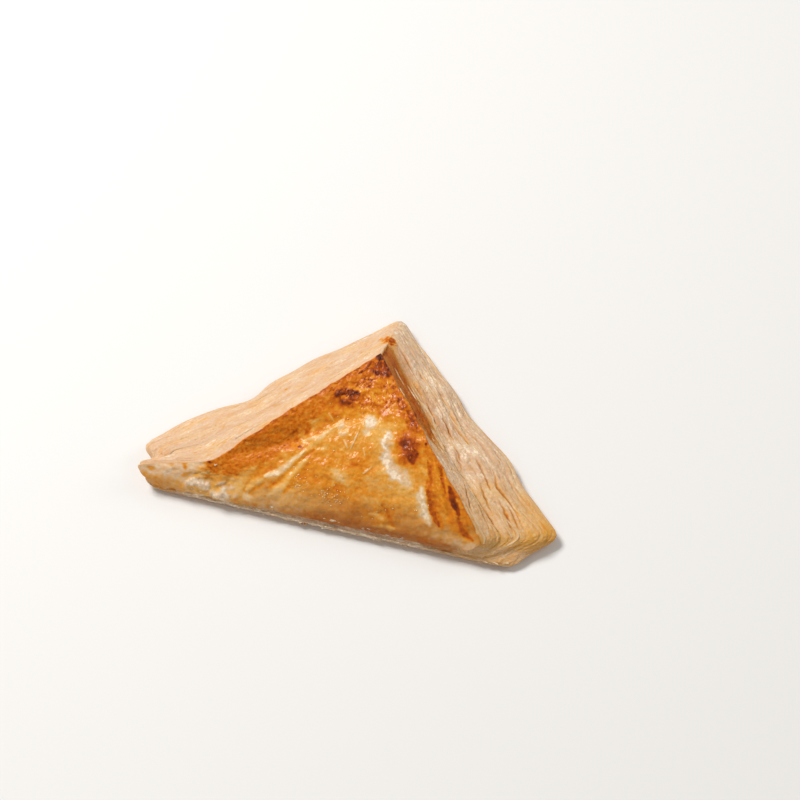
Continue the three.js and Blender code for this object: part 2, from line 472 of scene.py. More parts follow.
    def bulged(self, a: Array, b: Array, t: Array, swell: Array | float, lift: float) -> Array:
        """A stretch between two outlines that bulges outward in its middle.

        Args:
            a: points of the lower outline.
            b: points of the upper outline.
            t: how far up between them, from 0 to 1.
            swell: how far the middle bulges.
            lift: rise of the bulge for a step outward.

        Returns:
            Points between the outlines.
        """
        away = self.outward(a)
        away[..., 2] = lift
        away /= math.hypot(1, lift)
        return mix(a, b, t) + away * (swell * np.sin(np.pi * t))

    def surface(self, distance: Array, level: Array | float) -> Array:
        """Points of the underside's edge and the side.

        Args:
            distance: distances round the rim.
            level: 0 at the underside's edge, 1 at the rim, 2 at the joint, 3 at the crease.

        Returns:
            An array with x, y and z in its last axis.
        """
        level = np.asarray(level, float)[..., None]
        rim, joint = self.rim_point(distance), self.joint_point(distance)
        crease = self.crease_point(distance)
        turn = np.clip(level, 0, 1) * math.pi / 2
        under = mix(self.base_point(distance), rim, np.sin(turn))
        under[..., 2:] = rim[..., 2:] * (1 - np.cos(turn))
        low, high = np.clip(level - 1, 0, 1), np.clip(level - 2, 0, 1)
        upper = self.bulged(joint, crease, high, self.upper_swell(distance)[..., None], 0.8)
        leg = np.where(level <= 2, self.bulged(rim, joint, low, 1.5, 0.8), upper)
        t = self.fold_joint * low + (1 - self.fold_joint) * high
        depth, place, width = self.recess
        fold = self.bulged(rim, crease, t, 0.6, 0.1)
        fold = fold - self.outward(fold) * depth * bell(t - place, width)
        side = mix(fold, leg, self.leg_share(distance)[..., None])
        return self.notched(np.where(level <= 1, under, side))

    def notched(self, point: Array) -> Array:
        """The left end drawn in where the two sheets part.

        Args:
            point: points with x, y and z in the last axis.

        Returns:
            The points, moved near the left end.
        """
        depth, place, width = self.notch
        inside = smooth((-point[..., 0] - self.half + 14) / 6)
        point = point.copy()
        point[..., 0] += depth * inside * bell(point[..., 1] - place, width)
        return point

    def upper_swell(self, distance: Array) -> Array:
        """How far the upper sheet bulges: it hollows high on the right leg."""
        edge, t = self.locate(distance)
        return np.where(edge == 5, mix(0.9, -0.7, smooth((t - 0.25) / 0.4)), 0.9)


# ---------------------------------------- meshes from grids
@dataclass
class Patch:
    """A grid of points, rows first, with its flat map and its values at each point."""

    points: Array
    along: Array
    across: Array
    toast: Array
    egg: Array
    # Painted shade: how far each point's colour is darkened toward a warm shade tint.
    dim: Array
    grit: Array

    @classmethod
    def plain(cls, points: Array, toast: float) -> "Patch":
        """A patch with one bake, no egg wash, no painted shade and an even grain.

        Args:
            points: rows of points.
            toast: how browned it is.

        Returns:
            The patch.
        """
        flat = np.full(points.shape[:2], float(toast))
        none = np.zeros_like(flat)
        return cls(points, points[..., 0], points[..., 2], flat, none, none, np.ones_like(flat))

    @classmethod
    def stacked(cls, patches: "list[Patch]") -> "Patch":
        """Patches with the same columns, laid one after another."""
        names = cls.__dataclass_fields__
        return cls(*(np.concatenate([getattr(p, n) for p in patches]) for n in names))


class Kneader:
    """Turns patches into pieces: a grid primitive is bent to the points, closed and named."""

    def __init__(self, form: TurnoverForm) -> None:
        """Finds where the dough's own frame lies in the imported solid's.

        Args:
            form: the smooth form of the turnover.
        """
        distance = np.linspace(0, form.perimeter, 1500)
        outlines = np.concatenate([form.surface(distance, level) for level in (1, 2, 3)])[:, :2]
        own = (outlines.min(axis=0) + outlines.max(axis=0)) / 2
        low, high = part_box(NODE)
        middle = [(low[0] + high[0]) / 2 - own[0] * MM, (low[1] + high[1]) / 2 - own[1] * MM]
        self.shift = np.array([*middle, low[2]])

    def place(self, points: Array) -> Array:
        """Points of the dough's frame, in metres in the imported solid's place."""
        return points * MM + self.shift

    def piece(self, name: str, patch: Patch) -> bpy.types.Object:
        """Bends a grid primitive to a patch.

        Args:
            name: the piece's name.
            patch: points and values, rows first.

        Returns:
            The new object, with its doubles merged and its normals outward.
        """
        rows, columns = patch.points.shape[:2]
        bpy.ops.object.select_all(action="DESELECT")
        bpy.ops.mesh.primitive_grid_add(x_subdivisions=columns - 1, y_subdivisions=rows - 1, size=1)
        piece = bpy.context.object
        piece.name = piece.data.name = name
        mesh = piece.data
        mesh.vertices.foreach_set("co", self.place(patch.points).astype(np.float32).ravel())
        # Each point carries its bake, egg wash, painted shade and grain.
        for key in ("toast", "egg", "dim", "grit"):
            layer = mesh.attributes.new(key, "FLOAT", "POINT")
            layer.data.foreach_set("value", getattr(patch, key).astype(np.float32).ravel())
        corners = np.empty(len(mesh.loops), np.int32)
        mesh.loops.foreach_get("vertex_index", corners)
        flat = np.stack([patch.along.ravel(), patch.across.ravel()], -1)[corners] * MM
        mesh.uv_layers[0].data.foreach_set("uv", flat.astype(np.float32).ravel())
        mesh.update()
        return self.closed(piece)

    def closed(self, piece: bpy.types.Object) -> bpy.types.Object:
        """Merges seams and poles, clears what collapsed, and turns the normals outward.

        Args:
            piece: the piece as it was joined.

        Returns:
            The same piece.
        """
        bpy.ops.object.mode_set(mode="EDIT")
        bpy.ops.mesh.select_all(action="SELECT")
        bpy.ops.mesh.remove_doubles(threshold=1e-6)
        bpy.ops.mesh.delete_loose(use_verts=True, use_edges=True, use_faces=False)
        bpy.ops.mesh.select_all(action="SELECT")
        bpy.ops.mesh.normals_make_consistent(inside=False)
        bpy.ops.object.mode_set(mode="OBJECT")
        bpy.ops.object.shade_smooth()
        piece.select_set(False)
        return piece


def unit(vectors: Array) -> Array:
    """Vectors scaled to length 1."""
    return vectors / np.maximum(np.linalg.norm(vectors, axis=-1, keepdims=True), 1e-9)


def grid_normals(points: Array, wraps: bool) -> Array:
    """Unit normals of a grid of points.

    Args:
        points: rows by columns by 3.
        wraps: whether the last column lies on the first.

    Returns:
        Normals of the same shape, right-handed from columns to rows.
    """
    if wraps:
        ring = points[:, :-1]
        along = np.roll(ring, -1, axis=1) - np.roll(ring, 1, axis=1)
        along = np.concatenate([along, along[:, :1]], axis=1)
    else:
        along = np.gradient(points, axis=1)
    return unit(np.cross(along, np.gradient(points, axis=0)))


# ---------------------------------------- cut legs
class Sheet(Enum):
    """The two puffed sheets of the folded dough, with the level at which each one's side starts."""

    LOWER = 1
    UPPER = 2


@dataclass(frozen=True)
class Temper:
    """How rough the leaves lie on one stretch of the cut side."""

    relief: float
    slits: float
    ragged: float
    grit: float


LEFT_TEMPER = Temper(relief=0.3, slits=0, ragged=0.6, grit=0.9)
RIGHT_TEMPER = Temper(relief=0.5, slits=0.66, ragged=0.9, grit=1)


@dataclass(frozen=True)
class Slit:
    """A long narrow opening between two leaves of the right leg.

    Its course runs up the leg from the wide right end: millimetres along the rim and levels.
    """

    course: tuple[tuple[float, float], ...]
    width: float = 0.34
    depth: float = 0.65
    # How much golden painted shade the slit gets in its hollow.
    gold: float = 0.28

    def share(self, along: Array, level: Array, per_level: float, ragged: Array) -> Array:
        """How much each place of the leg lies in the slit.

        Args:
            along: distances along the leg.
            level: heights in sheets.
            per_level: width of one sheet.
            ragged: unevenness of the slit's line.

        Returns:
            Shares from 0 to 1.
        """
        places, levels = np.transpose(self.course)
        middle = np.interp(along, places, levels) + 0.3 * ragged / per_level
        run = np.clip((along - places[0]) / (places[-1] - places[0]), 0, 1)
        taper = np.sin(np.pi * run)
        return taper * bell((level - middle) * per_level, self.width * (0.35 + 0.65 * taper))


LEG_SLITS = (
    Slit(((49, 1.78), (55, 1.75), (63, 1.72)), width=0.42, depth=0.8, gold=0.4),
    Slit(((56, 1.94), (64, 1.9), (73, 1.86)), width=0.3, depth=0.5, gold=0.26),
    Slit(((38.5, 1.88), (43.5, 1.85), (48.5, 1.82)), width=0.3, depth=0.45, gold=0.3),
    Slit(((35, 1.95), (40, 1.92), (46, 1.88)), width=0.28, depth=0.4, gold=0.3),
    Slit(((26, 1.7), (31, 1.67), (40, 1.64)), width=0.34, depth=0.5, gold=0.24),
    Slit(((22, 1.72), (27.5, 1.69), (32.5, 1.67)), width=0.3, depth=0.5, gold=0.34),
    Slit(((3, 2.84), (14.5, 2.79), (28, 2.42), (40, 2.3)), width=0.4, depth=0.6, gold=0.24),
    Slit(((2, 2.46), (10, 2.38), (20, 2.2)), width=0.4, depth=0.6, gold=0.26),
    Slit(((1.5, 2.07), (7, 2.02), (14, 1.98)), width=0.4, depth=0.6, gold=0.3),
    Slit(((11, 1.93), (16.6, 1.9), (29.5, 1.81)), width=0.34, depth=0.5, gold=0.27),
    Slit(((1, 1.81), (7, 1.76), (14.5, 1.71), (19, 1.69)), width=0.38, depth=0.6, gold=0.32),
    Slit(((2, 1.69), (6, 1.66), (11.8, 1.62), (16, 1.6)), width=0.34, depth=0.5, gold=0.3),
    Slit(
        ((1.5, 1.6), (8, 1.57), (15.8, 1.53), (23.6, 1.585), (31.5, 1.48), (38, 1.5)), width=0.36, depth=0.5
    ),
    Slit(
        ((5, 1.2), (12.5, 1.17), (22.3, 1.2), (29.6, 1.27), (37, 1.35), (46, 1.4)),
        width=0.7, depth=0.3, gold=0.06
    ),
    Slit(((58, 1.5), (66, 1.46), (76, 1.5)), width=0.4, depth=0.5, gold=0.22),
    Slit(((64, 1.66), (75, 1.62), (88, 1.64)), width=0.4, depth=0.6, gold=0.24),
    Slit(((72, 1.32), (84, 1.3), (98, 1.34)), width=0.4, depth=0.5, gold=0.2),
    Slit(((80, 1.82), (90, 1.8), (101, 1.78)), width=0.38, depth=0.5, gold=0.22),
)


@dataclass
class LeafedSheet:
    """One puffed sheet of dough, with the leaves that show on its cut legs."""

    sheet: Sheet
    form: TurnoverForm
    leaves: int
    rows: int
    width: float
    steps: tuple[int, ...] = (270, 44, 54, 205, 62, 330)
    crown: float = 0.7
    gap: float = 1.3
    reach: int = 5
    hollow_depth: float = 0.9
    pebble: float = 0.13
    flare: float = 0.75
    flare_end: float = 0.5
    sinks: tuple[tuple[float, float], ...] = (
        (0.015, 0.6),
        (0.06, 1.4),
        (0.12, 2),
        (0.2, 2.4),
        (0.3, 2.6),
        (0.45, 2.6),
        (0.7, 2.6),
    )
    grain: Grain = field(default_factory=lambda: Grain(11))

    def distances(self) -> Array:
        """Distances round the rim of the mesh's columns, closing on the first.

        Returns:
            One row of distances.
        """
        starts = np.concatenate([[0], np.cumsum(self.form.edge_lengths)])
        parts = [
            np.linspace(starts[i], starts[i + 1], count, endpoint=False)
            for i, count in enumerate(self.steps)
        ]
        return np.concatenate(parts + [[self.form.perimeter]])

    def along_right(self, distance: Array) -> Array:
        """Millimetres up the right leg from its wide end; below 0 on that end itself."""
        return distance - self.form.start_of(Station.RIGHT_BACK)

    def temper(self, distance: Array, name: str) -> Array:
        """One measure of roughness, blended from the left leg to the right one.

        Args:
            distance: distances round the rim.
            name: the measure's name.

        Returns:
            The measure at each distance.
        """
        edge, t = self.form.locate(distance)
        left, right = getattr(LEFT_TEMPER, name), getattr(RIGHT_TEMPER, name)
        settled = mix(0.15, 1, smooth((self.along_right(distance) + 8) / 20))
        share = np.where(edge == 5, smooth((1 - t) / 0.06), np.where(edge <= 2, 0, 1))
        return mix(left, right, share * settled)

    def cuts(self, distance: Array, across: Array) -> tuple[Array, Array]:
        """The long slits of the right leg: how deep each place lies in them, and how much golden painted
        shade it gets there.

        Args:
            distance: distances round the rim.
            across: fractions up the sheet.

        Returns:
            The depth and the golden painted shade.
        """
        along, level = self.along_right(distance), self.sheet.value + across
        deep, gold = np.zeros(along.shape), np.zeros(along.shape)
        ragged = self.grain.layered(along / 3.4, 2 * level, 3)
        for slit in LEG_SLITS:
            share = slit.share(along, level, self.width, ragged)
            deep = np.maximum(deep, share * slit.depth)
            gold = np.maximum(gold, share * slit.gold)
        return deep, gold

    def leaf_lines(self, distance: Array, across: Array) -> tuple[Array, Array, Array, Array]:
        """Relief of the leaves at places on the cut side.

        Args:
            distance: distances round the rim.
            across: 0 at the sheet's lower edge to 1 at its upper one.

        Returns:
            How far the place stands out, how far it moves up the side, how much golden painted shade it gets
            from lying in a slit, and its place across the leaves, in millimetres.
        """
        grain = self.grain
        seed = 40 * self.sheet.value
        v = across * self.width
        slits, relief = self.temper(distance, "slits"), self.temper(distance, "relief")
        torn = self.temper(distance, "ragged") * (0.35 + bell(self.along_right(distance) - 60, 24))
        inside = smooth(across * self.leaves) * smooth((1 - across) * self.leaves)
        sway = 1.9 * grain.at(distance / 34, v / 9 + seed)
        sway = sway + 0.5 * grain.at(distance / 12, v / 4.5 + seed)
        sway = sway + 0.45 * torn * grain.at(distance / 3.2, v / 2.2 + seed)
        uneven = 1.1 * grain.at(v / 5 + seed, 3.3 + 0 * v)
        phase = self.leaves / self.width * (v + (sway + uneven) * inside)
        leaf = np.floor(phase)
        part = phase - leaf
        near = np.minimum(part, 1 - part)
        line = np.round(phase)
        other = np.where(part < 0.5, leaf - 1, leaf + 1)

        def stand(index: Array) -> Array:
            """How far one leaf stands out from its neighbours."""
            slow = 0.8 * grain.at(distance / 23, index * 3.7 + seed + 0.5)
            return slow + 0.4 * grain.at(distance / 8, index * 5.3 + seed + 9.5)

        own = mix(0.5 * (stand(leaf) + stand(other)), stand(leaf), smooth(near / 0.16))
        opening = smooth(1.5 * grain.at(distance / 11, line * 4.1 + seed + 20.5) + 0.12)
        opening = opening * smooth(0.8 + 1.2 * grain.at(distance / 4.7, line * 2.9 + seed + 31)) * slits
        slit = np.exp(-((near / (0.06 + 0.03 * opening)) ** 2))
        crown = self.crown * (1 - (1 - 2 * near) ** 4)
        crown = crown * (0.7 + 0.9 * grain.at(distance / 13, leaf * 2.3))
        fine_phase = phase * 3 + 0.7 * grain.at(distance / 7, v / 1.6 + seed + 50)
        fine_near = np.abs(fine_phase - np.round(fine_phase))
        fine = np.exp(-((fine_near / 0.14) ** 2))
        fine = fine * smooth(0.1 + 2 * grain.at(distance / 9, np.round(fine_phase) * 3.3 + seed))
        lump = 1.1 * grain.at(distance / 15, v / 7 + seed + 60)
        rough = torn * grain.layered(distance / 2.6, v / 1 + seed, 3)
        soft = grain.layered(distance / 4.2, v / 1.9 + seed + 15, 2)
        gap = torn * smooth((grain.at(distance / 8, v / 0.5 + seed + 90) - 0.45) / 0.2)
        deep, gold = self.cuts(distance, across)
        out = own + lump + crown - slit * (0.1 + 0.55 * opening) - 0.2 * fine * slits
        out = out + 0.16 * rough + 0.1 * soft
        share = self.form.leg_share(distance)
        out = relief * inside * out - deep - 0.22 * gap
        curl = -0.5 * inside * opening * np.exp(-(((part - 0.16) / 0.1) ** 2))
        flow = phase * self.width / self.leaves
        strands = mix(0.55, 1, slits) * grain.layered(distance / 9, flow / 0.55 + seed + 70, 3)
        crumbs = self.pebble * inside * grain.layered(distance / 1.9, v / 1.3 + seed + 25, 3)
        # Golden painted shade in slits, fine lines and gaps, with a little real tone along the strands.
        gold = np.maximum(gold, 0.2 * slit * opening + 0.08 * fine * slits) + 0.1 * gap + 0.05 * strands
        return share * (out + 0.07 * strands + crumbs), share * curl, share * gold, flow

    def side(self) -> Patch:
        """The rows of the cut side, displaced by its leaves.

        Returns:
            The rows, from the bottom up.
        """
        distance = self.distances()
        across = np.linspace(0, 1, self.rows)
        points = self.form.surface(distance, self.sheet.value + across[:, None])
        normals = grid_normals(points, wraps=True)
        up = unit(np.gradient(points, axis=0))
        d, a = np.meshgrid(distance, across)
        here = self.leaf_lines(d, a)
        before = self.leaf_lines(d - self.form.perimeter, a)
        seam = 1 - smooth((d - self.form.perimeter + 12) / 12)
        out, curl, gold, flow = (mix(y, x, seam) for x, y in zip(here, before))
        points = points + normals * out[..., None] + up * curl[..., None]
        points = points - normals * self.crumbled(d, points)[..., None]
        if self.sheet is Sheet.LOWER:
            ragged = 1 + 0.5 * self.grain.layered(points[..., 0] / 2.6, 5 + 2 * a, 3)
            flare = self.flare * (1 - self.form.leg_share(d)) * ragged
            flare = flare * (1 - smooth((a - 0.5 * self.flare_end) / (0.5 * self.flare_end)))
            points = points + self.form.outward(points) * flare[..., None]
        points[:, -1] = points[:, 0]
        toast, egg, dim = self.bake(d, a, gold, self.hollow(out), points)
        for values in (toast, egg, dim):
            values[:, -1] = values[:, 0]
        return Patch(points, d, flow, toast, egg, dim, self.temper(d, "grit"))

    def hollow(self, out: Array) -> Array:
        """How deep each place lies under its neighbours up and down the side, from 0 to 1.

        Args:
            out: how far each place stands out.

        Returns:
            Depths from 0 to 1.
        """
        padded = np.pad(out, ((self.reach, self.reach), (0, 0)), mode="edge")
        count = 2 * self.reach + 1
        around = sum(padded[i : i + out.shape[0]] for i in range(count)) / count
        return np.clip((around - out) / self.hollow_depth, 0, 1)

    def crumbled(self, d: Array, points: Array) -> Array:
        """How deep the torn, crumbly lip and tail are pitted.

        Args:
            d: distances round the rim.
            points: the side's points.

        Returns:
            Depths.
        """
        grain = self.grain
        under = 1 - self.form.leg_share(d)
        tail = smooth((-points[..., 0] - 38) / 8)
        pits = np.maximum(0, grain.layered(points[..., 0] / 3.4, points[..., 2] / 1.8, 3))
        fray = 0.3 * grain.layered(points[..., 0] / 2.2, points[..., 2] / 0.9 + 30, 3)
        return under * ((0.25 + 0.7 * tail) * pits + (0.6 + 0.3 * tail) * fray)

    def bake(
        self, d: Array, a: Array, gold: Array, hollow: Array, points: Array
    ) -> tuple[Array, Array, Array]:
        """How browned the cut side is.

        Args:
            d: distances round the rim.
            a: places across the side.
            gold: the golden painted shade in the slits.
            hollow: how deep each place lies.
            points: the side's points.

        Returns:
            The bake from 0, raw and pale, to 1, dark, the egg wash, and the painted shade in hollows, slits,
            the shadowed groove and the right end.
        """
        form, grain = self.form, self.grain
        along, v, level = self.along_right(d), a * self.width, self.sheet.value + a
        right = smooth((along + 18) / 10) * (along <= form.edge_lengths[5])
        blotch = grain.layered(d / 10, v / 4 + 5, 3)
        low_right = right * (1 - smooth((along - 8) / 40))
        toast = mix(0.13, 0.08 + 0.07 * low_right, right)
        toast = toast + 0.06 * blotch + 0.03 * grain.layered(d / 2.5, v / 1.2 + 9)
        egg = 0.25 * smooth(grain.at(d / 14, v / 4 + 12) / 0.5) + 0.3 * low_right
        pace = mix(1.8, 3.6, right)
        speck = smooth((grain.at(d / pace, v / 0.8 + 80) - 0.5) / 0.2)
        speck = speck * smooth(2.4 * grain.at(d / 11, v / 5))
        flush = smooth((grain.layered(d / 9, v / 2.6 + 44, 3) - 0.25) / 0.5) * (1 - right)
        toast = toast + mix(0.24, 0.16, right) * speck + 0.07 * flush
        joint = bell((level - 2) * self.width, 0.45) * (0.5 + grain.at(d / 6, 7.7))
        soft = mix(0.4, 1, right)
        streak = grain.layered(d / 7 + 31, v / 0.7, 3)
        # Slits and hollows are browned and darkened with painted shade, and the right leg a little darkened
        # overall with painted shade; the joint between the sheets is browned.
        toast = toast + 0.03 * streak + 0.6 * gold + 0.08 * soft * hollow
        toast = toast + 0.12 * soft * np.clip(joint, 0, 1)
        dim = 0.4 * soft * hollow + 0.6 * smooth(gold / 0.36) + 0.05 * right
        # Toward the right end the side is browner and more washed, with some painted shade.
        end = right * smooth((6 - along) / 10)
        toast, egg, dim = toast + 0.09 * end, egg + 0.45 * end, dim + 0.14 * end
        if self.sheet is Sheet.LOWER:
            ragged = grain.layered(points[..., 0] / 1.6, points[..., 1] / 1.6, 3)
            away = np.hypot(points[..., 0] + 0.5, (points[..., 1] - 72.5) * 1.2)
            spot = smooth((1 + 0.8 * ragged - away / 2.6) / 0.9 + 0.4)
            toast = mix(toast, 0.64, spot)
            # Low near the right end: a browner, more washed patch with a little painted shade.
            patch = right * bell(along - 5, 12) * bell(a - 0.2, 0.24)
            toast, egg, dim = toast + 0.06 * patch, egg + 0.4 * patch, dim + 0.12 * patch
            toast = toast + 0.06 * (1 - smooth(a / 0.08))
            shaded = right * smooth((along - 44) / 22) * smooth((a - 0.7) / 0.3)
            toast, dim = toast + 0.16 * shaded, dim + 0.2 * shaded
        else:
            # High on the right leg, along the upper sheet's side by the crust: browning and a painted shadow
            # over the groove.
            ledge = smooth((a - 0.5) / 0.25) * (1 - smooth((along - 56) / 10))
            facing = smooth((a + 0.1) / 0.25) * (1 - 0.3 * smooth((a - 0.6) / 0.4)) * (1 - 0.9 * ledge)
            groove_shadow = right * smooth((along - 30 - 14 * (1 - a)) / 24) * facing
            uneven = 0.06 * grain.layered(d / 9, v / 3)
            toast, dim = toast + groove_shadow * (0.42 + uneven), dim + 0.62 * groove_shadow
            egg = egg + 0.6 * groove_shadow
            rim = right * smooth((v - self.width + 0.9 + 0.5 * grain.at(d / 2.4, 3.1)) / 0.7)
            toast = mix(toast, mix(0.46, 0.16, ledge), 0.75 * rim)
            toast = toast + 0.05 * smooth((a - 0.75) / 0.25) * (1 - right)
        lip = 0.035 + 0.05 * grain.layered(points[..., 0] / 4, points[..., 2] / 1.5)
        lip = lip + 0.06 * smooth((grain.at(points[..., 0] / 5, points[..., 2] / 1.2) - 0.15) / 0.3)
        tip = smooth((-points[..., 0] - 58) / 5) * smooth((points[..., 2] - 2) / 2)
        lip = mix(lip, 0.46 + 0.1 * grain.layered(points[..., 0] / 3, points[..., 2] / 2), tip)
        # Toward the right the lip grows browner and more washed, with some painted shade.
        tanned = smooth((points[..., 0] - 26) / 14)
        lip = lip + 0.12 * tanned
        share = form.leg_share(d)
        toast, egg = mix(lip, toast, share), mix(0.5 * tanned, egg, share)
        dim = mix(0.2 * tanned, dim, share)
        return np.clip(toast, 0, 1), np.clip(egg, 0, 1), np.clip(dim, 0, 1)

    def pole(self, height: float, toast: float, like: Patch) -> Patch:
        """A row drawn together into one point at the face's centre."""
        point = np.array([*self.form.centre, height])
        return Patch.plain(np.broadcast_to(point, like.points[:1].shape).copy(), toast)

    def inner(self, points: Array, inward: float, lift: Array) -> Patch:
        """A joint row drawn inward by a distance and lifted.

        Args:
            points: the joint row.
            inward: how far it is drawn inward.
            lift: how far it is lifted.

        Returns:
            One row.
        """
        moved = points - self.form.outward(points) * inward
        moved[..., 2] += lift
        return Patch.plain(moved[None], 0.3)

    def joint_gap(self, distance: Array) -> Array:
        """Half the height of the slit between the sheets.

        Args:
            distance: distances round the rim.

        Returns:
            Half heights.
        """
        share = self.form.leg_share(distance)
        open_end = bell(distance - self.form.start_of(Station.LEFT_BACK) - 4, 12)
        right = self.temper(distance, "slits")
        return share * (0.04 + (0.06 + 0.2 * right) * (1 + wander(distance, 0.9)) + self.gap * open_end)

    def build(self, kneader: Kneader) -> bpy.types.Object:
        """Builds the sheet as one closed body.

        Args:
            kneader: joins the patches.

        Returns:
            The finished piece.
        """
        distance = self.distances()
        side = self.side()
        gap = self.joint_gap(distance)
        if self.sheet is Sheet.LOWER:
            top = side.points[-1]
            rows = self.below(distance, side) + [side]
            rows += [self.inner(top, 1.3, -0.6 * gap), self.inner(top, 5, -gap), self.pole(6.5, 0.3, side)]
        else:
            foot = side.points[0]
            rows = [self.pole(8, 0.3, side), self.inner(foot, 5, gap), self.inner(foot, 1.3, 0.6 * gap)]
            rows += [side] + self.cap(side)
        whole = Patch.stacked(rows)
        whole.points[:, -1] = whole.points[:, 0]
        return kneader.piece(f"{self.sheet.name.lower()}_sheet", whole)

    def below(self, distance: Array, side: Patch) -> list[Patch]:
        """The flat underside and its rounded edge, under the cut side.

        Args:
            distance: distances round the rim.
            side: the cut side.

        Returns:
            Its rows, from the middle outward.
        """
        base = self.form.base_point(distance)
        pole = self.pole(0, 0.5, side)
        rows = [pole, Patch.plain(mix(pole.points[0], base, 0.6)[None], 0.5)]
        for level in np.linspace(0, 1, 9)[:-1]:
            rows.append(Patch.plain(self.form.surface(distance, float(level))[None], 0.45 - 0.3 * level))
        return rows

    def cap(self, side: Patch) -> list[Patch]:
        """The rows under the crust that close the upper sheet.

        Args:
            side: the cut side.

        Returns:
            Its rows, from the edge inward.
        """
        crease = side.points[-1]
        rows = []
        for share, sink in self.sinks:
            points = mix(crease, np.array([*self.form.centre, 0]), share)
            points[..., 2] = self.form.face_height(points[..., 0], points[..., 1]) - sink
            rows.append(Patch.plain(points[None], 0.3))
        top = float(self.form.face_height(np.array(self.form.centre[0]), np.array(self.form.centre[1])))
        return rows + [self.pole(top - self.sinks[-1][1], 0.3, side)]


# ---------------------------------------- glazed crust
class Blemish:
    """What marks and streaks on the crust have in common."""

    edge: float
    rag: float
    strength: float
    lift: float

    def away(self, x: Array, y: Array) -> Array:
        """Distance of each place from the blemish's middle: 1 at its edge."""
        raise NotImplementedError

    def share(self, x: Array, y: Array, ragged: Array) -> Array:
        """How much each place belongs to the blemish."""
        inside = 1 + self.rag * ragged - self.away(x, y)
        return self.strength * smooth(inside / self.edge + 0.5)

    def rise(self, x: Array, y: Array) -> Array:
        """How far the crust stands up at the blemish."""
        return self.lift * bell(self.away(x, y), 1)


@dataclass(frozen=True)
class Mark(Blemish):
    """A browned or pale mark on the crust: a ragged ellipse on the face, in millimetres."""

    x: float
    y: float
    length: float
    width: float
    angle: float
    toast: float
    egg: float = 0.5
    lift: float = 0.0
    edge: float = 0.8
    rag: float = 0.45
    strength: float = 1.0
    # How much painted shade the mark lays on.
    dim: float = 0.0

    def away(self, x: Array, y: Array) -> Array:
        """Distance of each place from the blemish's middle: 1 at its edge.

        Args:
            x: places across.
            y: places up the face.

        Returns:
            The distances.
        """
        c, s = math.cos(math.radians(self.angle)), math.sin(math.radians(self.angle))
        along = ((x - self.x) * c + (y - self.y) * s) / self.length
        across = ((y - self.y) * c - (x - self.x) * s) / self.width
        return np.hypot(along, across)


@dataclass(frozen=True)
class Streak(Blemish):
    """A curved line on the crust that thins to both ends: a ridge, a groove, a thread or a burn."""

    course: tuple[tuple[float, float], ...]
    width: float
    toast: float
    egg: float = 0.5
    lift: float = 0.0
    edge: float = 0.9
    rag: float = 0.3
    strength: float = 1.0
    # How much painted shade the streak lays on.
    dim: float = 0.0

    def away(self, x: Array, y: Array) -> Array:
        """Distance of each place from the blemish's middle: 1 at its edge.

        Args:
            x: places across.
            y: places up the face.

        Returns:
            The distances.
        """
        lengths = [math.dist(a, b) for a, b in zip(self.course, self.course[1:])]
        nearest = np.full(x.shape, np.inf)
        for i, length in enumerate(lengths):
            (ax, ay), (bx, by) = self.course[i : i + 2]
            t = np.clip(((x - ax) * (bx - ax) + (y - ay) * (by - ay)) / length**2, 0, 1)
            run = (sum(lengths[:i]) + t * length) / sum(lengths)
            taper = np.sqrt(np.sin(np.pi * (0.04 + 0.92 * run)))
            gone = np.hypot(x - mix(ax, bx, t), y - mix(ay, by, t)) / (self.width * taper)
            nearest = np.minimum(nearest, gone)
        return nearest


ZONES = (
    Mark(5, 31, 9, 5, 10, 0.27, egg=0.9, edge=2, strength=0.6),
    Mark(-4, 23, 8, 5, 40, 0.36, egg=0.9, edge=2, strength=0.5),
    Mark(-13, 13, 7, 3.4, 38, 0.5, egg=0.95, edge=1.8, rag=0.7, strength=0.5),
    Mark(0, 16, 8, 4, 10, 0.48, egg=0.95, edge=1.8, rag=0.8, strength=0.5),
    Mark(20, 10.6, 9, 3.6, -16, 0.32, egg=0.8, edge=2, strength=0.6),
    # These four low marks darken the front with painted shade where it turns away from the light, beside
    # their own tan.
    Mark(-19, 3, 15, 3.2, 0, 0.22, egg=0.5, edge=1.8, strength=0.85, dim=0.07),
    Mark(4, 2.6, 16, 2.2, 0, 0.4, egg=0.5, edge=2, rag=0.3, strength=0.5, dim=0.67),
    Mark(29, 3.6, 10, 3, -8, 0.27, egg=0.5, edge=2, rag=0.3, strength=0.7, dim=0.6),
    Mark(43, 0.8, 8, 2.8, -8, 0.17, egg=0.4, edge=1.8, rag=0.3, strength=0.9, dim=0.13),
    Mark(9.6, 7.9, 3.2, 1.4, -6, 0.22, egg=0.5, edge=2, rag=0.9, strength=0.6),
)
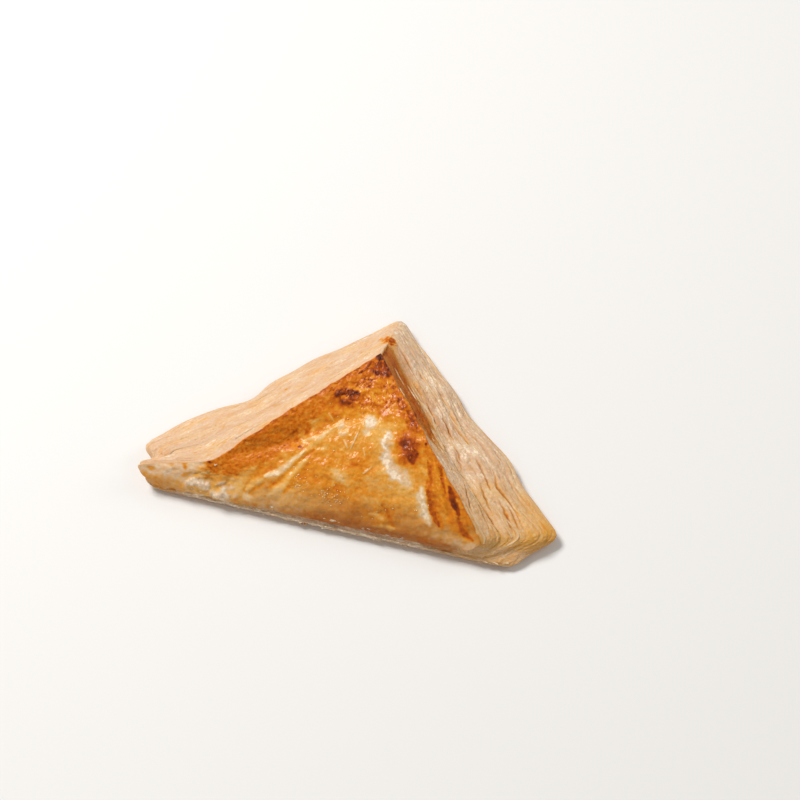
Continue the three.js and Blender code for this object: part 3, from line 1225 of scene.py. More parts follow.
PALE_MARKS = (
    Mark(2.8, 32.8, 2.5, 2.3, 0, 0.02, egg=0.1, lift=0.35, edge=0.9, rag=0.25),
    Mark(2.2, 28.8, 1.3, 1.1, 0, 0.1, egg=0.4, edge=1.6),
    Mark(-7.2, 29.9, 1.6, 1.2, 40, 0.1, egg=0.4, lift=0.2, edge=1.4, rag=0.6),
    Mark(-5.8, 26.9, 1.4, 1, 20, 0.14, egg=0.4, lift=0.2, edge=1.4, rag=0.6),
    Mark(14.6, 20, 8.2, 5, -44, 0.2, egg=0.8, edge=1.8, rag=0.5, strength=0.7),
    Mark(8.4, 31, 3, 2.2, 60, 0.2, egg=0.8, edge=1.8, rag=0.5, strength=0.7),
    Streak(((10, 30), (11.2, 26.2), (13, 22.6)), 2.9, 0, 0.1, edge=0.8, rag=0.3),
    Mark(15.1, 20.6, 6.2, 4.3, -44, 0, egg=0, edge=0.55, rag=0.3),
    Mark(20.2, 15.8, 2.2, 1.3, -36, 0.1, egg=0.4, edge=1.9, rag=0.4),
    Streak(((25.6, 14.8), (26.6, 11.6), (28.6, 8), (31, 5.4)), 1.9, 0.05, 0.4, edge=1.6, rag=0.4),
    Mark(-3.2, 12.8, 3.4, 1.5, -26, 0.16, egg=0.6, lift=0.15, edge=1.8, rag=0.8, strength=0.8),
    Mark(9.4, 13, 3.4, 1.6, -20, 0.24, egg=0.5, edge=1.8, rag=0.8, strength=0.6),
)
APEX_BURNS = (
    Mark(0.6, 51.4, 5.6, 4, 66, 0.6, egg=0.9, edge=1.4, rag=0.5, strength=0.7),
    Mark(1.7, 52.4, 3.4, 3.1, 0, 0.7, egg=0.9, lift=0.2, edge=0.8, rag=0.4),
    Mark(0.3, 57.3, 2, 1.5, 60, 0.93, egg=0.3, lift=0.2, edge=0.8, rag=0.3),
    Streak(((1, 57.4), (3.4, 54.8), (5.6, 52.2)), 0.9, 0.84, egg=0.6, edge=1, rag=0.4),
    Mark(4.3, 51.5, 1.6, 1.2, -50, 0.84, egg=0.6, lift=0.2, edge=1, rag=0.5),
    Mark(0.9, 54.7, 1.2, 0.9, 0, 0.82, egg=0.6, edge=1, rag=0.5),
    Mark(1.2, 50.6, 1.9, 0.8, 8, 0.82, egg=0.6, lift=0.2, edge=1, rag=0.5),
    Streak(((-2.4, 54.6), (-3.5, 51.3), (-5.8, 48.9)), 0.6, 0.78, egg=0.7, lift=0.25, edge=1, rag=0.5),
    Streak(((-3.6, 47.4), (-0.8, 47.6), (1.6, 49)), 0.4, 0.72, egg=0.8, lift=-0.15, rag=0.6),
    Mark(-7.7, 39.6, 5.6, 3.6, 18, 0.62, egg=0.8, edge=1.2, rag=0.6, strength=0.8),
    Mark(-7.7, 39.9, 4.3, 2.7, 18, 0.73, egg=0.8, edge=0.8, rag=0.5),
    Mark(-10.4, 40.3, 1.6, 1.3, 40, 0.85, egg=0.6, lift=0.25, edge=1, rag=0.5),
    Mark(-5.4, 41.8, 1.9, 1.2, 10, 0.84, egg=0.6, lift=0.25, edge=1, rag=0.5),
    Streak(((-9.8, 38.2), (-7.4, 37.8), (-5, 38.4)), 0.6, 0.82, egg=0.6, lift=0.2, edge=1, rag=0.5),
    # The lighter middle of the dark blotch: partly its own colour, partly a painted highlight.
    Mark(-8.4, 39.6, 1.4, 0.7, 20, 0.56, egg=0.9, edge=1, rag=0.6),
    Mark(6.4, 37.2, 3.4, 2, -40, 0.6, egg=0.95, edge=1.4, rag=0.8, strength=0.8),
    Mark(1.4, 39.4, 4.6, 1.4, -8, 0.6, egg=0.95, edge=1.4, rag=0.8, strength=0.8),
    Streak(((7.4, 46), (11.2, 41.8), (16.4, 38.2), (20.6, 32.4)), 2.1, 0.6, egg=0.9, rag=0.6, edge=1.5),
    Streak(((14.4, 39), (17.2, 36), (19.6, 32.6)), 0.9, 0.72, egg=0.8, rag=0.7, edge=1.2),
    Mark(17.6, 33.4, 2.6, 1.5, -50, 0.68, egg=0.9, edge=1.2, rag=0.6),
)
DOTS = (
    Mark(-0.8, 45.2, 0.5, 0.4, 0, 0.8),
    Mark(4.4, 46.3, 0.45, 0.4, 0, 0.78),
    Mark(12.8, 39.4, 0.7, 0.5, 40, 0.8, lift=0.2),
    Mark(23.9, 28.8, 0.4, 0.35, 0, 0.86),
    Mark(21.8, 25.4, 0.4, 0.35, 0, 0.88),
    Mark(31.5, 24.3, 0.9, 0.45, -50, 0.84),
    Mark(-50.4, 8.7, 0.45, 0.35, 0, 0.84, egg=0.1),
    Mark(-20.1, 20.2, 0.8, 0.5, 15, 0.8, egg=0.3),
    Mark(-0.2, 17.6, 1.6, 0.9, 10, 0.58, edge=1.4, rag=0.8),
    Mark(-18.5, 26.3, 1.6, 1, 70, 0.66, egg=0.3, edge=1.2, rag=0.7),
    Mark(-23.2, 24.6, 1.3, 0.5, 30, 0.64, egg=0.2, edge=1.2, rag=0.7),
    Mark(-27, 28.6, 2, 0.6, 45, 0.64, egg=0.2, edge=1.2, rag=0.8),
)
# Pleats by the left end: pale ridge tops, partly painted light, and golden valleys of painted shade beside
# them, over a shallow relief.
PLEATS_LIT_AND_SHADED = (
    Streak(((-38.6, 2.6), (-37.2, 6.6), (-33.6, 10.6)), 1.9, 0.24, 0.8, lift=0.15, edge=2, strength=0.7),
    Streak(
        ((-36.2, 3.4), (-34, 7.6), (-29.6, 11), (-25.2, 15)),
        1.4, 0.51, 0.8, lift=-0.2, edge=2.2, strength=0.7
    ),
    Streak(((-35.6, 3.6), (-33.4, 5.2), (-30.4, 7.4)), 1.3, 0.2, 0.7, lift=0.15, edge=1.9, strength=0.8),
    Streak(((-34.4, 2.6), (-32.4, 4.6), (-29.4, 6.4)), 0.6, 0.52, 0.9, lift=-0.15, edge=1.9, strength=0.8),
    Streak(
        ((-29.8, 8.6), (-25.7, 10.2), (-22.8, 12.4), (-20.4, 15.6), (-17.8, 18.8)),
        1.3, 0.08, 0.5, lift=0.2, edge=1.4
    ),
    Streak(
        ((-18.4, 17.8), (-15, 22), (-11.4, 26.3), (-7.6, 31)),
        1.1, 0.22, 0.8, lift=0.12, edge=2, strength=0.7
    ),
    Streak(
        ((-19.8, 22.3), (-16.9, 23.4), (-13.4, 24.6), (-9.8, 28.4)),
        0.7, 0.12, 0.6, lift=0.12, edge=1.7, rag=0.4, strength=0.8
    ),
    Streak(
        ((-27.6, 5.6), (-23.8, 8.4), (-21.6, 11.2), (-18.8, 15.2), (-14.6, 19.8)),
        1.1, 0.53, 0.95, lift=-0.2, edge=2
    ),
    Streak(
        ((-27, 3.6), (-24.2, 5.8), (-21.4, 8.6), (-19.4, 12.2), (-16.4, 16.4)),
        1.4, 0.2, 0.8, lift=0.12, edge=2, strength=0.9
    ),
    Streak(
        ((-22, 5), (-19.1, 9.1), (-16.6, 12.8), (-13.6, 17)),
        1.1, 0.51, 0.95, lift=-0.12, edge=2, strength=0.8
    ),
)
THREADS = (
    Streak(((-0.5, 28.6), (-1.9, 22.4)), 0.26, 0.06, 0.1, lift=0.2, strength=0.8),
    Streak(((-5.2, 25), (-4, 23.8), (-3, 22.4)), 0.3, 0.08, 0.2, lift=0.18, strength=0.8),
    Streak(((4.5, 15.2), (7, 18)), 0.3, 0.06, 0.2, lift=0.18, strength=0.8),
    Streak(((2.6, 23.4), (3.8, 20.8)), 0.22, 0.12, 0.3, lift=0.12, strength=0.7),
    Streak(((0.6, 33), (-3.4, 30.2)), 0.26, 0.1, 0.3, lift=0.16, strength=0.7),
    Streak(((-3.8, 13.8), (-1.8, 12.6)), 0.24, 0.1, 0.2, lift=0.12, strength=0.7),
    Streak(((13.4, 13.6), (16, 13)), 0.22, 0.12, 0.2, lift=0.12, strength=0.7),
    Streak(((-12.6, 33), (-10.2, 31)), 0.24, 0.14, 0.2, lift=0.12, strength=0.7),
)
RIGHT_BURNS = (
    Mark(17.6, 25.6, 6, 5, -54, 0.5, egg=0.95, lift=0.3, edge=1.4, rag=0.3),
    Mark(17.9, 26.4, 5.8, 4.7, -54, 0.58, egg=1, lift=0.25, edge=0.7, rag=0.25),
    Streak(((15.4, 27.6), (17.4, 28), (19.2, 25.6), (20.8, 22.6)), 2.8, 0.75, 1, edge=1.3, rag=0.3),
    Mark(16.4, 28.4, 1.5, 1, -30, 0.83, egg=1, lift=0.15, edge=1.2, rag=0.3),
    Mark(19.4, 24, 1.7, 0.9, -60, 0.83, egg=1, lift=0.15, edge=1.2, rag=0.3),
    Mark(15.4, 24.4, 1.8, 1.2, -50, 0.52, egg=1, edge=1.4, rag=0.3, strength=0.7),
    Streak(((24, 27.6), (28, 23.6), (33.4, 15.8), (39, 8.4), (45, 3.4)), 2.7, 0.52, 0.95, edge=1.3, rag=0.5),
    Streak(((27.4, 17.6), (30.2, 12), (33, 8), (35.6, 5.4)), 1.7, 0.56, 0.95, edge=1, rag=0.5),
    Streak(((28, 15), (29.8, 11.2), (32, 7.8), (34.6, 5.2)), 0.9, 0.67, 0.95, edge=1, rag=0.6),
    Streak(((28.2, 27.4), (30.6, 25), (34.2, 20)), 0.5, 0.66, 0.9, lift=-0.2, edge=1.2, rag=0.5),
    Streak(((25.6, 24), (27.6, 20.4), (29, 16.6)), 0.6, 0.62, 0.95, lift=-0.2, edge=1.4, rag=0.5),
    Streak(
        ((27.8, 24.4), (30.6, 19.4), (33, 14.2), (36.2, 9.2)), 0.8, 0.46, 0.95, lift=0.3, edge=1.4, rag=0.4
    ),
    Streak(((29.8, 23.6), (32.4, 18.8), (34.4, 14.8)), 0.6, 0.66, 0.95, lift=-0.2, edge=1.4, rag=0.5),
    Streak(((31.8, 22.4), (34, 18), (36.8, 12.8), (39.8, 8)), 0.7, 0.48, 0.95, lift=0.3, edge=1.4, rag=0.4),
    Streak(((35.2, 17), (37.2, 13.8), (40.6, 9.4)), 1.1, 0.76, 0.8, lift=0.15, edge=1, rag=0.5),
    Streak(((37.2, 13), (39.6, 10.2)), 0.7, 0.86, 0.7, lift=0.15, rag=0.6),
    Streak(((40.4, 8.6), (43, 5.2), (47.2, 3.2)), 0.8, 0.66, 0.8, edge=1.2, rag=0.7),
    Mark(44.2, 2.4, 0.7, 0.5, 0, 0.7, egg=0.5),
)
LOW_MARKS = (
    # The first two marks darken a patch and a groove of the low front with painted shade.
    Mark(13.8, 4.2, 4.8, 3, 6, 0.46, egg=0.9, edge=1.4, rag=0.8, strength=0.7, dim=0.13),
    Streak(
        ((13.2, 7.4), (15.6, 5.8), (17.6, 3.6), (19.4, 1.8)),
        0.6, 0.54, 0.8, lift=-0.12, edge=1.6, rag=0.7, dim=0.33
    ),
    Streak(((11, 1.4), (14.4, 1.8), (19.2, 2)), 0.5, 0.26, 0.8, lift=0.15, edge=1.9, rag=0.8),
    Streak(((9.2, 4.4), (12, 4.6), (15, 3.6)), 0.5, 0.28, 0.6, lift=0.1, edge=1.9, rag=0.8),
    Mark(-34.4, 1.6, 1.8, 1, -10, 0.08, egg=0.6, edge=1.4, rag=0.6, strength=0.8),
    Mark(-38.2, 3.8, 2.4, 1.5, 20, 0.2, egg=0.8, edge=1.4, rag=0.6, strength=0.8),
)
LEFT_BITS = (
    Mark(-59.4, 7.2, 1.5, 0.5, 10, 0.46, egg=0.4, rag=0.8),
    Mark(-58.9, 6.2, 1.2, 0.5, -50, 0.48, egg=0.4, rag=0.8),
    Mark(-57.6, 4.2, 1.8, 0.4, 24, 0.44, egg=0.3, rag=0.8),
    Mark(-63.3, 6.5, 0.9, 0.4, 60, 0.36, egg=0.2, rag=0.8),
    Mark(-71, 3.7, 1.1, 0.5, 0, 0.4, egg=0.2, rag=0.8),
    # These two golden bits of the torn crumb carry a little painted shade.
    Mark(-49.8, 2.9, 1.8, 0.9, 10, 0.24, egg=0.8, edge=1.2, rag=0.8, dim=0.2),
    Mark(-43.2, 2.7, 1.6, 0.9, 10, 0.26, egg=0.8, edge=1.2, rag=0.8, dim=0.2),
)
CRUST_MARKS = (
    *ZONES, *PALE_MARKS, *APEX_BURNS, *RIGHT_BURNS, *LOW_MARKS, *PLEATS_LIT_AND_SHADED, *THREADS, *DOTS, *LEFT_BITS
)


@dataclass
class GlazedCrust:
    """The egg-washed crust of the upper sheet, from leg to leg and down over the fold."""

    form: TurnoverForm
    rows: int = 190
    columns: int = 428
    front_rows: int = 20
    lowest: tuple[float, float, float] = (1.15, 1.5, 1.12)
    drops: tuple[float, float, float, float] = (-30.0, -18.0, 18.0, 36.0)
    thickness: float = 0.28
    turn: float = 0.965
    rim: tuple[tuple[float, float], ...] = (
        (0.2, 0.04),
        (0.38, 0.16),
        (0.48, 0.38),
        (0.42, 0.66),
        (-0.3, 1.1),
        (-0.9, 2.1),
        (-1.4, 3.4),
    )
    lip_share: float = 0.12
    step: float = 0.25
    climb: float = 0.7
    waver: float = 0.5
    tail_end: float = -54.0
    peak: float = 1.3
    peak_width: float = 2.2
    nudge: float = 0.05
    sparkles: tuple[tuple[float, float, float, float], ...] = (
        (-17, 8.2, 3.4, 1.7),
        (-5, 5.8, 5.4, 1.9),
        (11.8, 5.4, 2.4, 0.9),
        (-6.5, 29.8, 1.2, 0.9),
        (-18.6, 17.6, 1, 2),
        (31, 19, 1.2, 4.5),
        (27.6, 13.6, 0.9, 3),
        (19, 25.8, 1.6, 2.6),
    )
    grain: Grain = field(default_factory=lambda: Grain(23))

    def path(self, start: float, end: float, count: int, waver: float = 0.0) -> Array:
        """Evenly spaced points of the crease in plan, between two distances round the rim.

        Args:
            start: the first distance.
            end: the last distance.
            count: how many points.
            waver: how far the line swings in and out.

        Returns:
            Points in plan.
        """
        crease = self.form.notched(self.form.crease_point(np.linspace(start, end, 4000)))[:, :2]
        run = np.concatenate([[0], np.cumsum(np.linalg.norm(np.diff(crease, axis=0), axis=1))])
        place = np.linspace(0, run[-1], count)
        points = np.stack([np.interp(place, run, crease[:, i]) for i in range(2)], -1)
        inward = unit(np.array(self.form.centre) - points)
        ends = smooth(place / 8) * smooth((run[-1] - place) / 4)
        ends = ends * mix(0.5, 1, smooth((points[:, 0] - self.tail_end) / 10))
        swing = self.grain.layered(place / 6, start / 7, 3) * ends * waver
        points = points + inward * swing[:, None]
        top = bell(np.hypot(points[:, 0], points[:, 1] - self.form.face_depth), self.peak_width)
        return points + np.stack([np.zeros_like(top), self.peak * top], -1)

    def face(self) -> Array:
        """Points of the face, blended between the fold, both legs and the corner.

        Returns:
            Rows of points.
        """
        form = self.form
        left_front, right_front = form.start_of(Station.LEFT_FRONT), form.start_of(Station.RIGHT_FRONT)
        knee = form.start_of(Station.LEFT_KNEE)
        back = form.start_of(Station.RIGHT_BACK)
        left_mid = knee * (1 - self.turn)
        right_mid = mix(back, form.perimeter, self.turn)
        bottom = self.path(left_front, right_front, self.columns)
        left = self.path(left_front, left_mid, self.rows, self.waver)
        right = self.path(right_front, right_mid, self.rows, self.waver)
        top = self.path(left_mid + form.perimeter, right_mid, self.columns)
        t = np.linspace(0, 1, self.columns)[None, :, None]
        g = np.linspace(0, 1, self.rows)[:, None, None]
        plan = mix(bottom[None], top[None], g) + mix(left[:, None], right[:, None], t)
        plan = plan - mix(mix(bottom[0], bottom[-1], t), mix(top[0], top[-1], t), g)
        height = form.face_height(plan[..., 0], plan[..., 1])
        return np.concatenate([plan, height[..., None]], -1)

    def grid(self) -> Array:
        """The crust's smooth points: rows from the lower edge over the fold to the corner.

        Returns:
            Rows of points.
        """
        form = self.form
        face = self.face()
        ends = form.start_of(Station.LEFT_FRONT), form.start_of(Station.RIGHT_FRONT)
        fold = np.linspace(*ends, self.columns)
        left, middle, right = self.lowest
        low = np.interp(face[0, :, 0], self.drops, (left, middle, middle, right))
        front = []
        for share in np.linspace(0, 1, self.front_rows, endpoint=False):
            row = form.surface(fold, mix(low, 3, share))
            row[:, 0] = face[0, :, 0]
            front.append(row)
        return np.concatenate([np.stack(front), face])

    def relief(self, x: Array, y: Array, w: Array) -> Array:
        """Lumps, pleats, wrinkles and blisters of the crust, in millimetres.

        Args:
            x: places along the fold.
            y: places away from the fold.
            w: places up the surface, which don't bunch up on the steep front.

        Returns:
            How far each place stands out.
        """
        grain = self.grain
        lumps = 0.5 * grain.layered(x / 11, w / 8, 2) + 0.22 * grain.layered(x / 3.6, w / 3 + 9, 2)
        centre = bell(np.hypot(x - 2, (y - 16) * 1.3), 22)
        curls = grain.ridged(x / 2.6 + 0.8 * grain.at(x / 4, y / 4), y / 3.4 + 30) ** 4
        curls = curls * smooth(2 * grain.at(x / 5 + 7, y / 5))
        browned, crinkle = self.browned(x, y), self.crinkle(x, y)
        blisters = np.maximum(0, grain.at(x / 1.5 + 40, y / 1.5)) ** 1.4
        bubbles = np.maximum(0, grain.at(x / 3.1 + 12, y / 2.7)) ** 1.5
        sparkle = self.sparkle(x, y)
        peel = grain.layered(x / 1.25 + 5, y / 1.05, 2)
        skin = (0.04 + 0.04 * centre) * grain.layered(x / 0.9, w / 0.8 + 21, 2) * smooth((y - 7) / 8)
        height = lumps + 0.06 * centre * curls + skin + 0.2 * sparkle
        height = height + browned * (0.25 * blisters + 0.4 * bubbles - 0.4 * crinkle)
        height = height + 0.1 * self.band(x, y, 0) * peel
        for mark in CRUST_MARKS:
            if mark.lift:
                height = height + mark.rise(x, y)
        return height + self.crumbly(x, y, w) * (0.7 * self.puffs(x, w) - 0.1)

    def browned(self, x: Array, y: Array) -> Array:
        """Where the crust is crinkled and blistered, near the right-angled corner.

        Args:
            x: places across.
            y: places up the face.

        Returns:
            Shares from 0 to 1.
        """
        ragged = 3 * self.grain.at(x / 5, y / 5)
        right = bell(self.form.from_right_leg(x, y), 4) * smooth((y - 20) / 12)
        return np.maximum(smooth((y - 34 - 0.2 * np.abs(x) + ragged) / 5), 0.7 * right)

    def crinkle(self, x: Array, y: Array) -> Array:
        """Broken, winding wrinkles of the browned skin: 1 along a wrinkle.

        Args:
            x: places across.
            y: places up the face.

        Returns:
            Strengths from 0 to 1.
        """
        grain = self.grain
        wx, wy = 0.9 * grain.at(x / 2.4, y / 2.4 + 5), 0.9 * grain.at(x / 2.4 + 31, y / 2.4)
        lines = grain.ridged(x / 2.9 + wx, y / 2.2 + wy) ** 4
        return lines * smooth(0.45 + 1.6 * grain.at(x / 3.1 + 60, y / 3.1))

    def sparkle(self, x: Array, y: Array) -> Array:
        """Tiny raised grains of the glaze, in a few patches and thinly between them; the bake paints them
        pale, partly as highlights.

        Args:
            x: places across.
            y: places up the face.

        Returns:
            Shares from 0 to 1.
        """
        grain = self.grain
        patches = sum(bell(np.hypot((x - cx) / w, (y - cy) / h), 1) for cx, cy, w, h in self.sparkles)
        dots = smooth((grain.at(x / 0.62 + 2, y / 0.62) - 0.46 + 0.2 * np.clip(patches, 0, 1)) / 0.12)
        return dots * np.clip(patches + 0.12 * smooth((y - 8) / 10), 0, 1)

    def band(self, x: Array, y: Array, ragged: Array | float) -> Array:
        """The matte brown band along the left leg.

        Args:
            x: places across.
            y: places up the face.
            ragged: unevenness of its edge.

        Returns:
            Shares from 0 to 1.
        """
        left = self.form.from_left_leg(x, y)
        width = 2 + 9.4 * smooth((x + 56) / 24) - 4.6 * smooth((x + 24) / 12)
        return smooth((width - left + 1.2 * ragged) / 2) * smooth((x + 57 + 2 * ragged) / 8)

    def puffs(self, x: Array, w: Array) -> Array:
        """Soft lumps of the torn crumb, from hollows at -1 to tops at 1."""
        return self.grain.layered(x / 4.6, w / 3.6 + 50, 3)

    def crumbly(self, x: Array, y: Array, w: Array) -> Array:
        """Where the crust is torn open and pale, near the left end of the fold.

        Args:
            x: places across.
            y: places up the face.
            w: places up the surface.

        Returns:
            Shares from 0 to 1.
        """
        ragged = 3 * self.grain.at(x / 4, w / 2.6) + 0.8 * self.grain.at(x / 1.2, w / 1.2)
        low = smooth((6 + 0.6 * ragged - y) / 2.4)
        return low * smooth((-x - 38.5 + ragged) / 4) * smooth((x + 62 + ragged) / 7)

    def bake(self, x: Array, y: Array, w: Array, front: Array) -> tuple[Array, Array, Array]:
        """How browned the crust is.

        Args:
            x: places along the fold.
            y: places away from the fold.
            w: places up the surface.
            front: 0 at the crust's lower edge to 1 on the face.

        Returns:
            The bake from 0, raw and pale, to 1, dark, the egg wash, and the painted shade where the crust
            turns away from the light.
        """
        grain, form = self.grain, self.form
        ragged = grain.layered(x / 3.2, w / 3.2, 4)
        gentle = grain.layered(x / 3.2, w / 3.2, 2)
        mottle = grain.layered(x / 1.4, w / 1.4 + 33, 3)
        blotch = grain.layered(x / 7 + 3, w / 6, 3)
        right = form.from_right_leg(x, y)
        toast = 0.46 + 0.09 * blotch + 0.07 * ragged
        egg = 0.75 + 0.2 * grain.layered(x / 9 + 9, y / 9)
        gold = smooth((y - 24 + 2 * ragged) / 12)
        toast, egg = mix(toast, 0.5 + 0.09 * ragged, gold), mix(egg, 1, gold)
        low = 1 - smooth((y - 2.5 + 1.5 * ragged) / 8)
        streaky = grain.layered(x / 4.6, w / 3.4 + 11, 3)
        toast, egg = mix(toast, 0.37 + 0.1 * streaky, 0.9 * low), mix(egg, 0.5, low)
        yellow = smooth((right + 3 * ragged) / 4) * bell(right - 9, 8) * (1 - gold)
        toast = mix(toast, 0.38 + 0.05 * streaky, 0.5 * yellow)
        pale = smooth((grain.layered(x / 4 + 20, y / 3.2, 3) - 0.3) / 0.4)
        curls = grain.ridged(x / 1.9 + grain.at(x / 3, y / 3 + 70), y / 2.4 + 30) ** 5
        curls = curls * bell(np.hypot(x - 3, (y - 19) * 1.2), 16)
        curls = curls * smooth(0.3 + 1.5 * grain.at(x / 4.4, y / 4))
        toast = toast - (0.14 * pale + 0.12 * curls) * (1 - low)
        rim = smooth((2.4 - right + 1.2 * ragged) / 1.8) * smooth((y - 4) / 8)
        toast, egg = mix(toast, 0.57, 0.85 * rim), mix(egg, 0.95, rim)
        band = self.band(x, y, ragged)
        toast, egg = mix(toast, 0.56 + 0.05 * ragged, band), mix(egg, 0.35, band)
        beside = bell(form.from_left_leg(x, y) - 0.4, 1.6) * smooth((x + 44) / 10)
        toast = toast + 0.06 * beside * (1 + ragged)
        tail = 1 - smooth((x + 56 + 2.5 * ragged) / 6)
        toast, egg = mix(toast, 0.13 + 0.05 * gentle, tail), mix(egg, 0.2, tail)
        tip = smooth((3 + 0.7 * ragged - y) / 2.4) * smooth((-x - 53 + 2 * ragged) / 5)
        toast = mix(toast, 0.42 + 0.1 * ragged, 0.85 * tip)
        # Painted shade on the low front, where the crust turns away from the light.
        dim = 0.67 * low * smooth((x + 40) / 14) * (1 - 0.3 * smooth((x - 16) / 14))
        # Each mark lays on its bake, wash and painted shade.
        for mark in CRUST_MARKS:
            share = mark.share(x, y, gentle)
            toast, egg = mix(toast, mark.toast, share), mix(egg, mark.egg, share)
            dim = mix(dim, mark.dim, share)
        # The roll above the lip: tan, half-washed and darkened with painted shade, most to the right.
        bare = 1 - smooth((w - 5.6 + 1.3 * gentle) / 4.4)
        bare = bare * smooth((x + 36 + 4 * gentle) / 8)
        warm = smooth((x + 24) / 16)
        toast = mix(toast, mix(0.21, 0.3, warm) + 0.1 * streaky, 0.88 * bare)
        egg, dim = mix(egg, 0.5, bare), mix(dim, mix(0.4, 1.05, warm) + 0.3 * gentle, bare)
        # Near the right corner: paler, less washed, with little painted shade.
        corner = smooth((x - 37 + 3 * ragged) / 9) * (1 - smooth((w - 7.6 + 1.6 * ragged) / 4))
        toast, egg = mix(toast, 0.16 + 0.07 * streaky, corner), mix(egg, 0.3, corner)
        dim = mix(dim, 0.15, corner)
        crumbly = self.crumbly(x, y, w)
        torn = smooth(0.45 - 1.5 * self.puffs(x, w))
        toast, egg = mix(toast, 0.05 + 0.25 * torn, crumbly), mix(egg, 0.1 + 0.6 * torn, crumbly)
        browned = self.browned(x, y)
        toast = toast + browned * (0.17 * self.crinkle(x, y) + 0.03 * mottle) + 0.07 * mottle
        # Pale dots on the raised grains: partly their own pale glaze, partly a painted highlight.
        toast = mix(toast, 0.08, 0.45 * self.sparkle(x, y))
        lip = self.lip(x, y, front)
        layers = smooth((grain.at(x / 9, 3.2 * front + 40) + 0.1) / 0.3)
        toast, egg = mix(toast, 0.04 + 0.07 * layers, lip), mix(egg, 0.15, lip)
        dim = mix(dim, 0, lip)
        return np.clip(toast, 0, 1), np.clip(egg, 0, 1), np.clip(dim, 0, 1)

    def lip(self, x: Array, y: Array, front: Array) -> Array:
        """The bare, ragged lip that shows under the glaze, along the fold."""
        ragged = self.grain.layered(x / 5, 2 + 0 * y, 2) + 0.4 * self.grain.at(x / 1.1, 8 + 0 * y)
        return smooth((self.lip_share + 0.16 * ragged - front) / 0.22 + 0.5)

    def upright(self, points: Array) -> Array:
        """Normals of the smooth crust: the grid's own over the fold, the face's slope above it.

        Args:
            points: the smooth points.

        Returns:
            Unit vectors.
        """
        x, y = points[..., 0], points[..., 1]
        height, step = self.form.face_height, self.nudge
        across = height(x - step, y) - height(x + step, y)
        along = height(x, y - step) - height(x, y + step)
        slope = unit(np.stack([across, along, np.full_like(x, 2 * step)], -1))
        row = np.arange(points.shape[0])[:, None, None]
        share = smooth((row - self.front_rows) / 4 + 0.5)
        return unit(mix(grid_normals(points, wraps=False), slope, share))

    def rimmed(self, points: Array, normals: Array) -> Array:
        """The patch with a thin rounded edge turned down all round it.

        Args:
            points: the patch's points.
            normals: its upward normals.

        Returns:
            The points with extra rows and columns on every side.
        """
        rows, columns = points.shape[:2]
        away = self.form.outward(points)
        outward = np.zeros_like(points)
        outward[0, :, 2] = -1
        outward[-1] += away[-1]
        outward[:, 0] += away[:, 0]
        outward[:, -1] += away[:, -1]
        outward = unit(outward - normals * np.sum(outward * normals, -1, keepdims=True))
        extra = len(self.rim)
        counts = np.arange(-extra, rows + extra), np.arange(-extra, columns + extra)
        i, j = np.meshgrid(*counts, indexing="ij")
        ci, cj = np.clip(i, 0, rows - 1), np.clip(j, 0, columns - 1)
        step = np.maximum(np.abs(i - ci), np.abs(j - cj))
        shape = np.array([(0, 0), *self.rim])[step]
        return points[ci, cj] + outward[ci, cj] * shape[..., :1] - normals[ci, cj] * shape[..., 1:]

    def build(self, kneader: Kneader) -> bpy.types.Object:
        """Builds the crust as one closed body over the upper sheet.

        Args:
            kneader: joins the patches.

        Returns:
            The finished piece.
        """
        points = self.grid()
        normals = self.upright(points)
        x, y = points[..., 0], points[..., 1]
        front = np.clip(np.arange(points.shape[0])[:, None] / self.front_rows, 0, 1)
        w = y + self.climb * points[..., 2]
        lip = self.lip(x, y, front)
        height = self.relief(x, y, w) * mix(0.4, 1, smooth(front)) - self.step * lip
        height = height + 0.26 * lip * self.grain.layered(x / 1.8, 9 * front, 3)
        points = points + normals * (self.thickness + height)[..., None]
        pad = len(self.rim)
        rounded = self.rimmed(points, normals)
        baked = [np.pad(values, pad, mode="edge") for values in self.bake(x, y, w, front)]
        grit = np.pad(mix(0.5, 1, np.maximum(self.band(x, y, 0), self.browned(x, y))), pad, mode="edge")
        patch = Patch(rounded, rounded[..., 0], rounded[..., 1], *baked, grit)
        return self.backed(kneader.piece("glazed_crust", patch))

    def backed(self, crust: bpy.types.Object) -> bpy.types.Object:
        """Draws the crust's turned-down edge together inside the dough.

        Args:
            crust: the piece as it was joined.

        Returns:
            The same piece.
        """
        bpy.ops.object.select_all(action="DESELECT")
        bpy.context.view_layer.objects.active = crust
        crust.select_set(True)
        bpy.ops.object.mode_set(mode="EDIT")
        bpy.ops.mesh.select_mode(type="EDGE")
        bpy.ops.mesh.select_all(action="DESELECT")
        bpy.ops.mesh.select_non_manifold(extend=False)
        bpy.ops.mesh.extrude_region_move(TRANSFORM_OT_translate={"value": (0, 0, -2 * MM)})
        bpy.ops.mesh.merge(type="CENTER")
        bpy.ops.transform.translate(value=(0, 0, -3 * MM))
        bpy.ops.mesh.select_all(action="SELECT")
        bpy.ops.mesh.normals_make_consistent(inside=False)
        bpy.ops.object.mode_set(mode="OBJECT")
        crust.select_set(False)
        return crust


# ---------------------------------------- loose leaves
@dataclass(frozen=True)
class Leg:
    """A stretch of the cut side on which loose leaves stand."""

    name: str
    start: float
    end: float
    count: int
    reach: tuple[float, float]
    length: tuple[float, float]
    toast: float
    levels: tuple[float, float] = (1.04, 2.94)


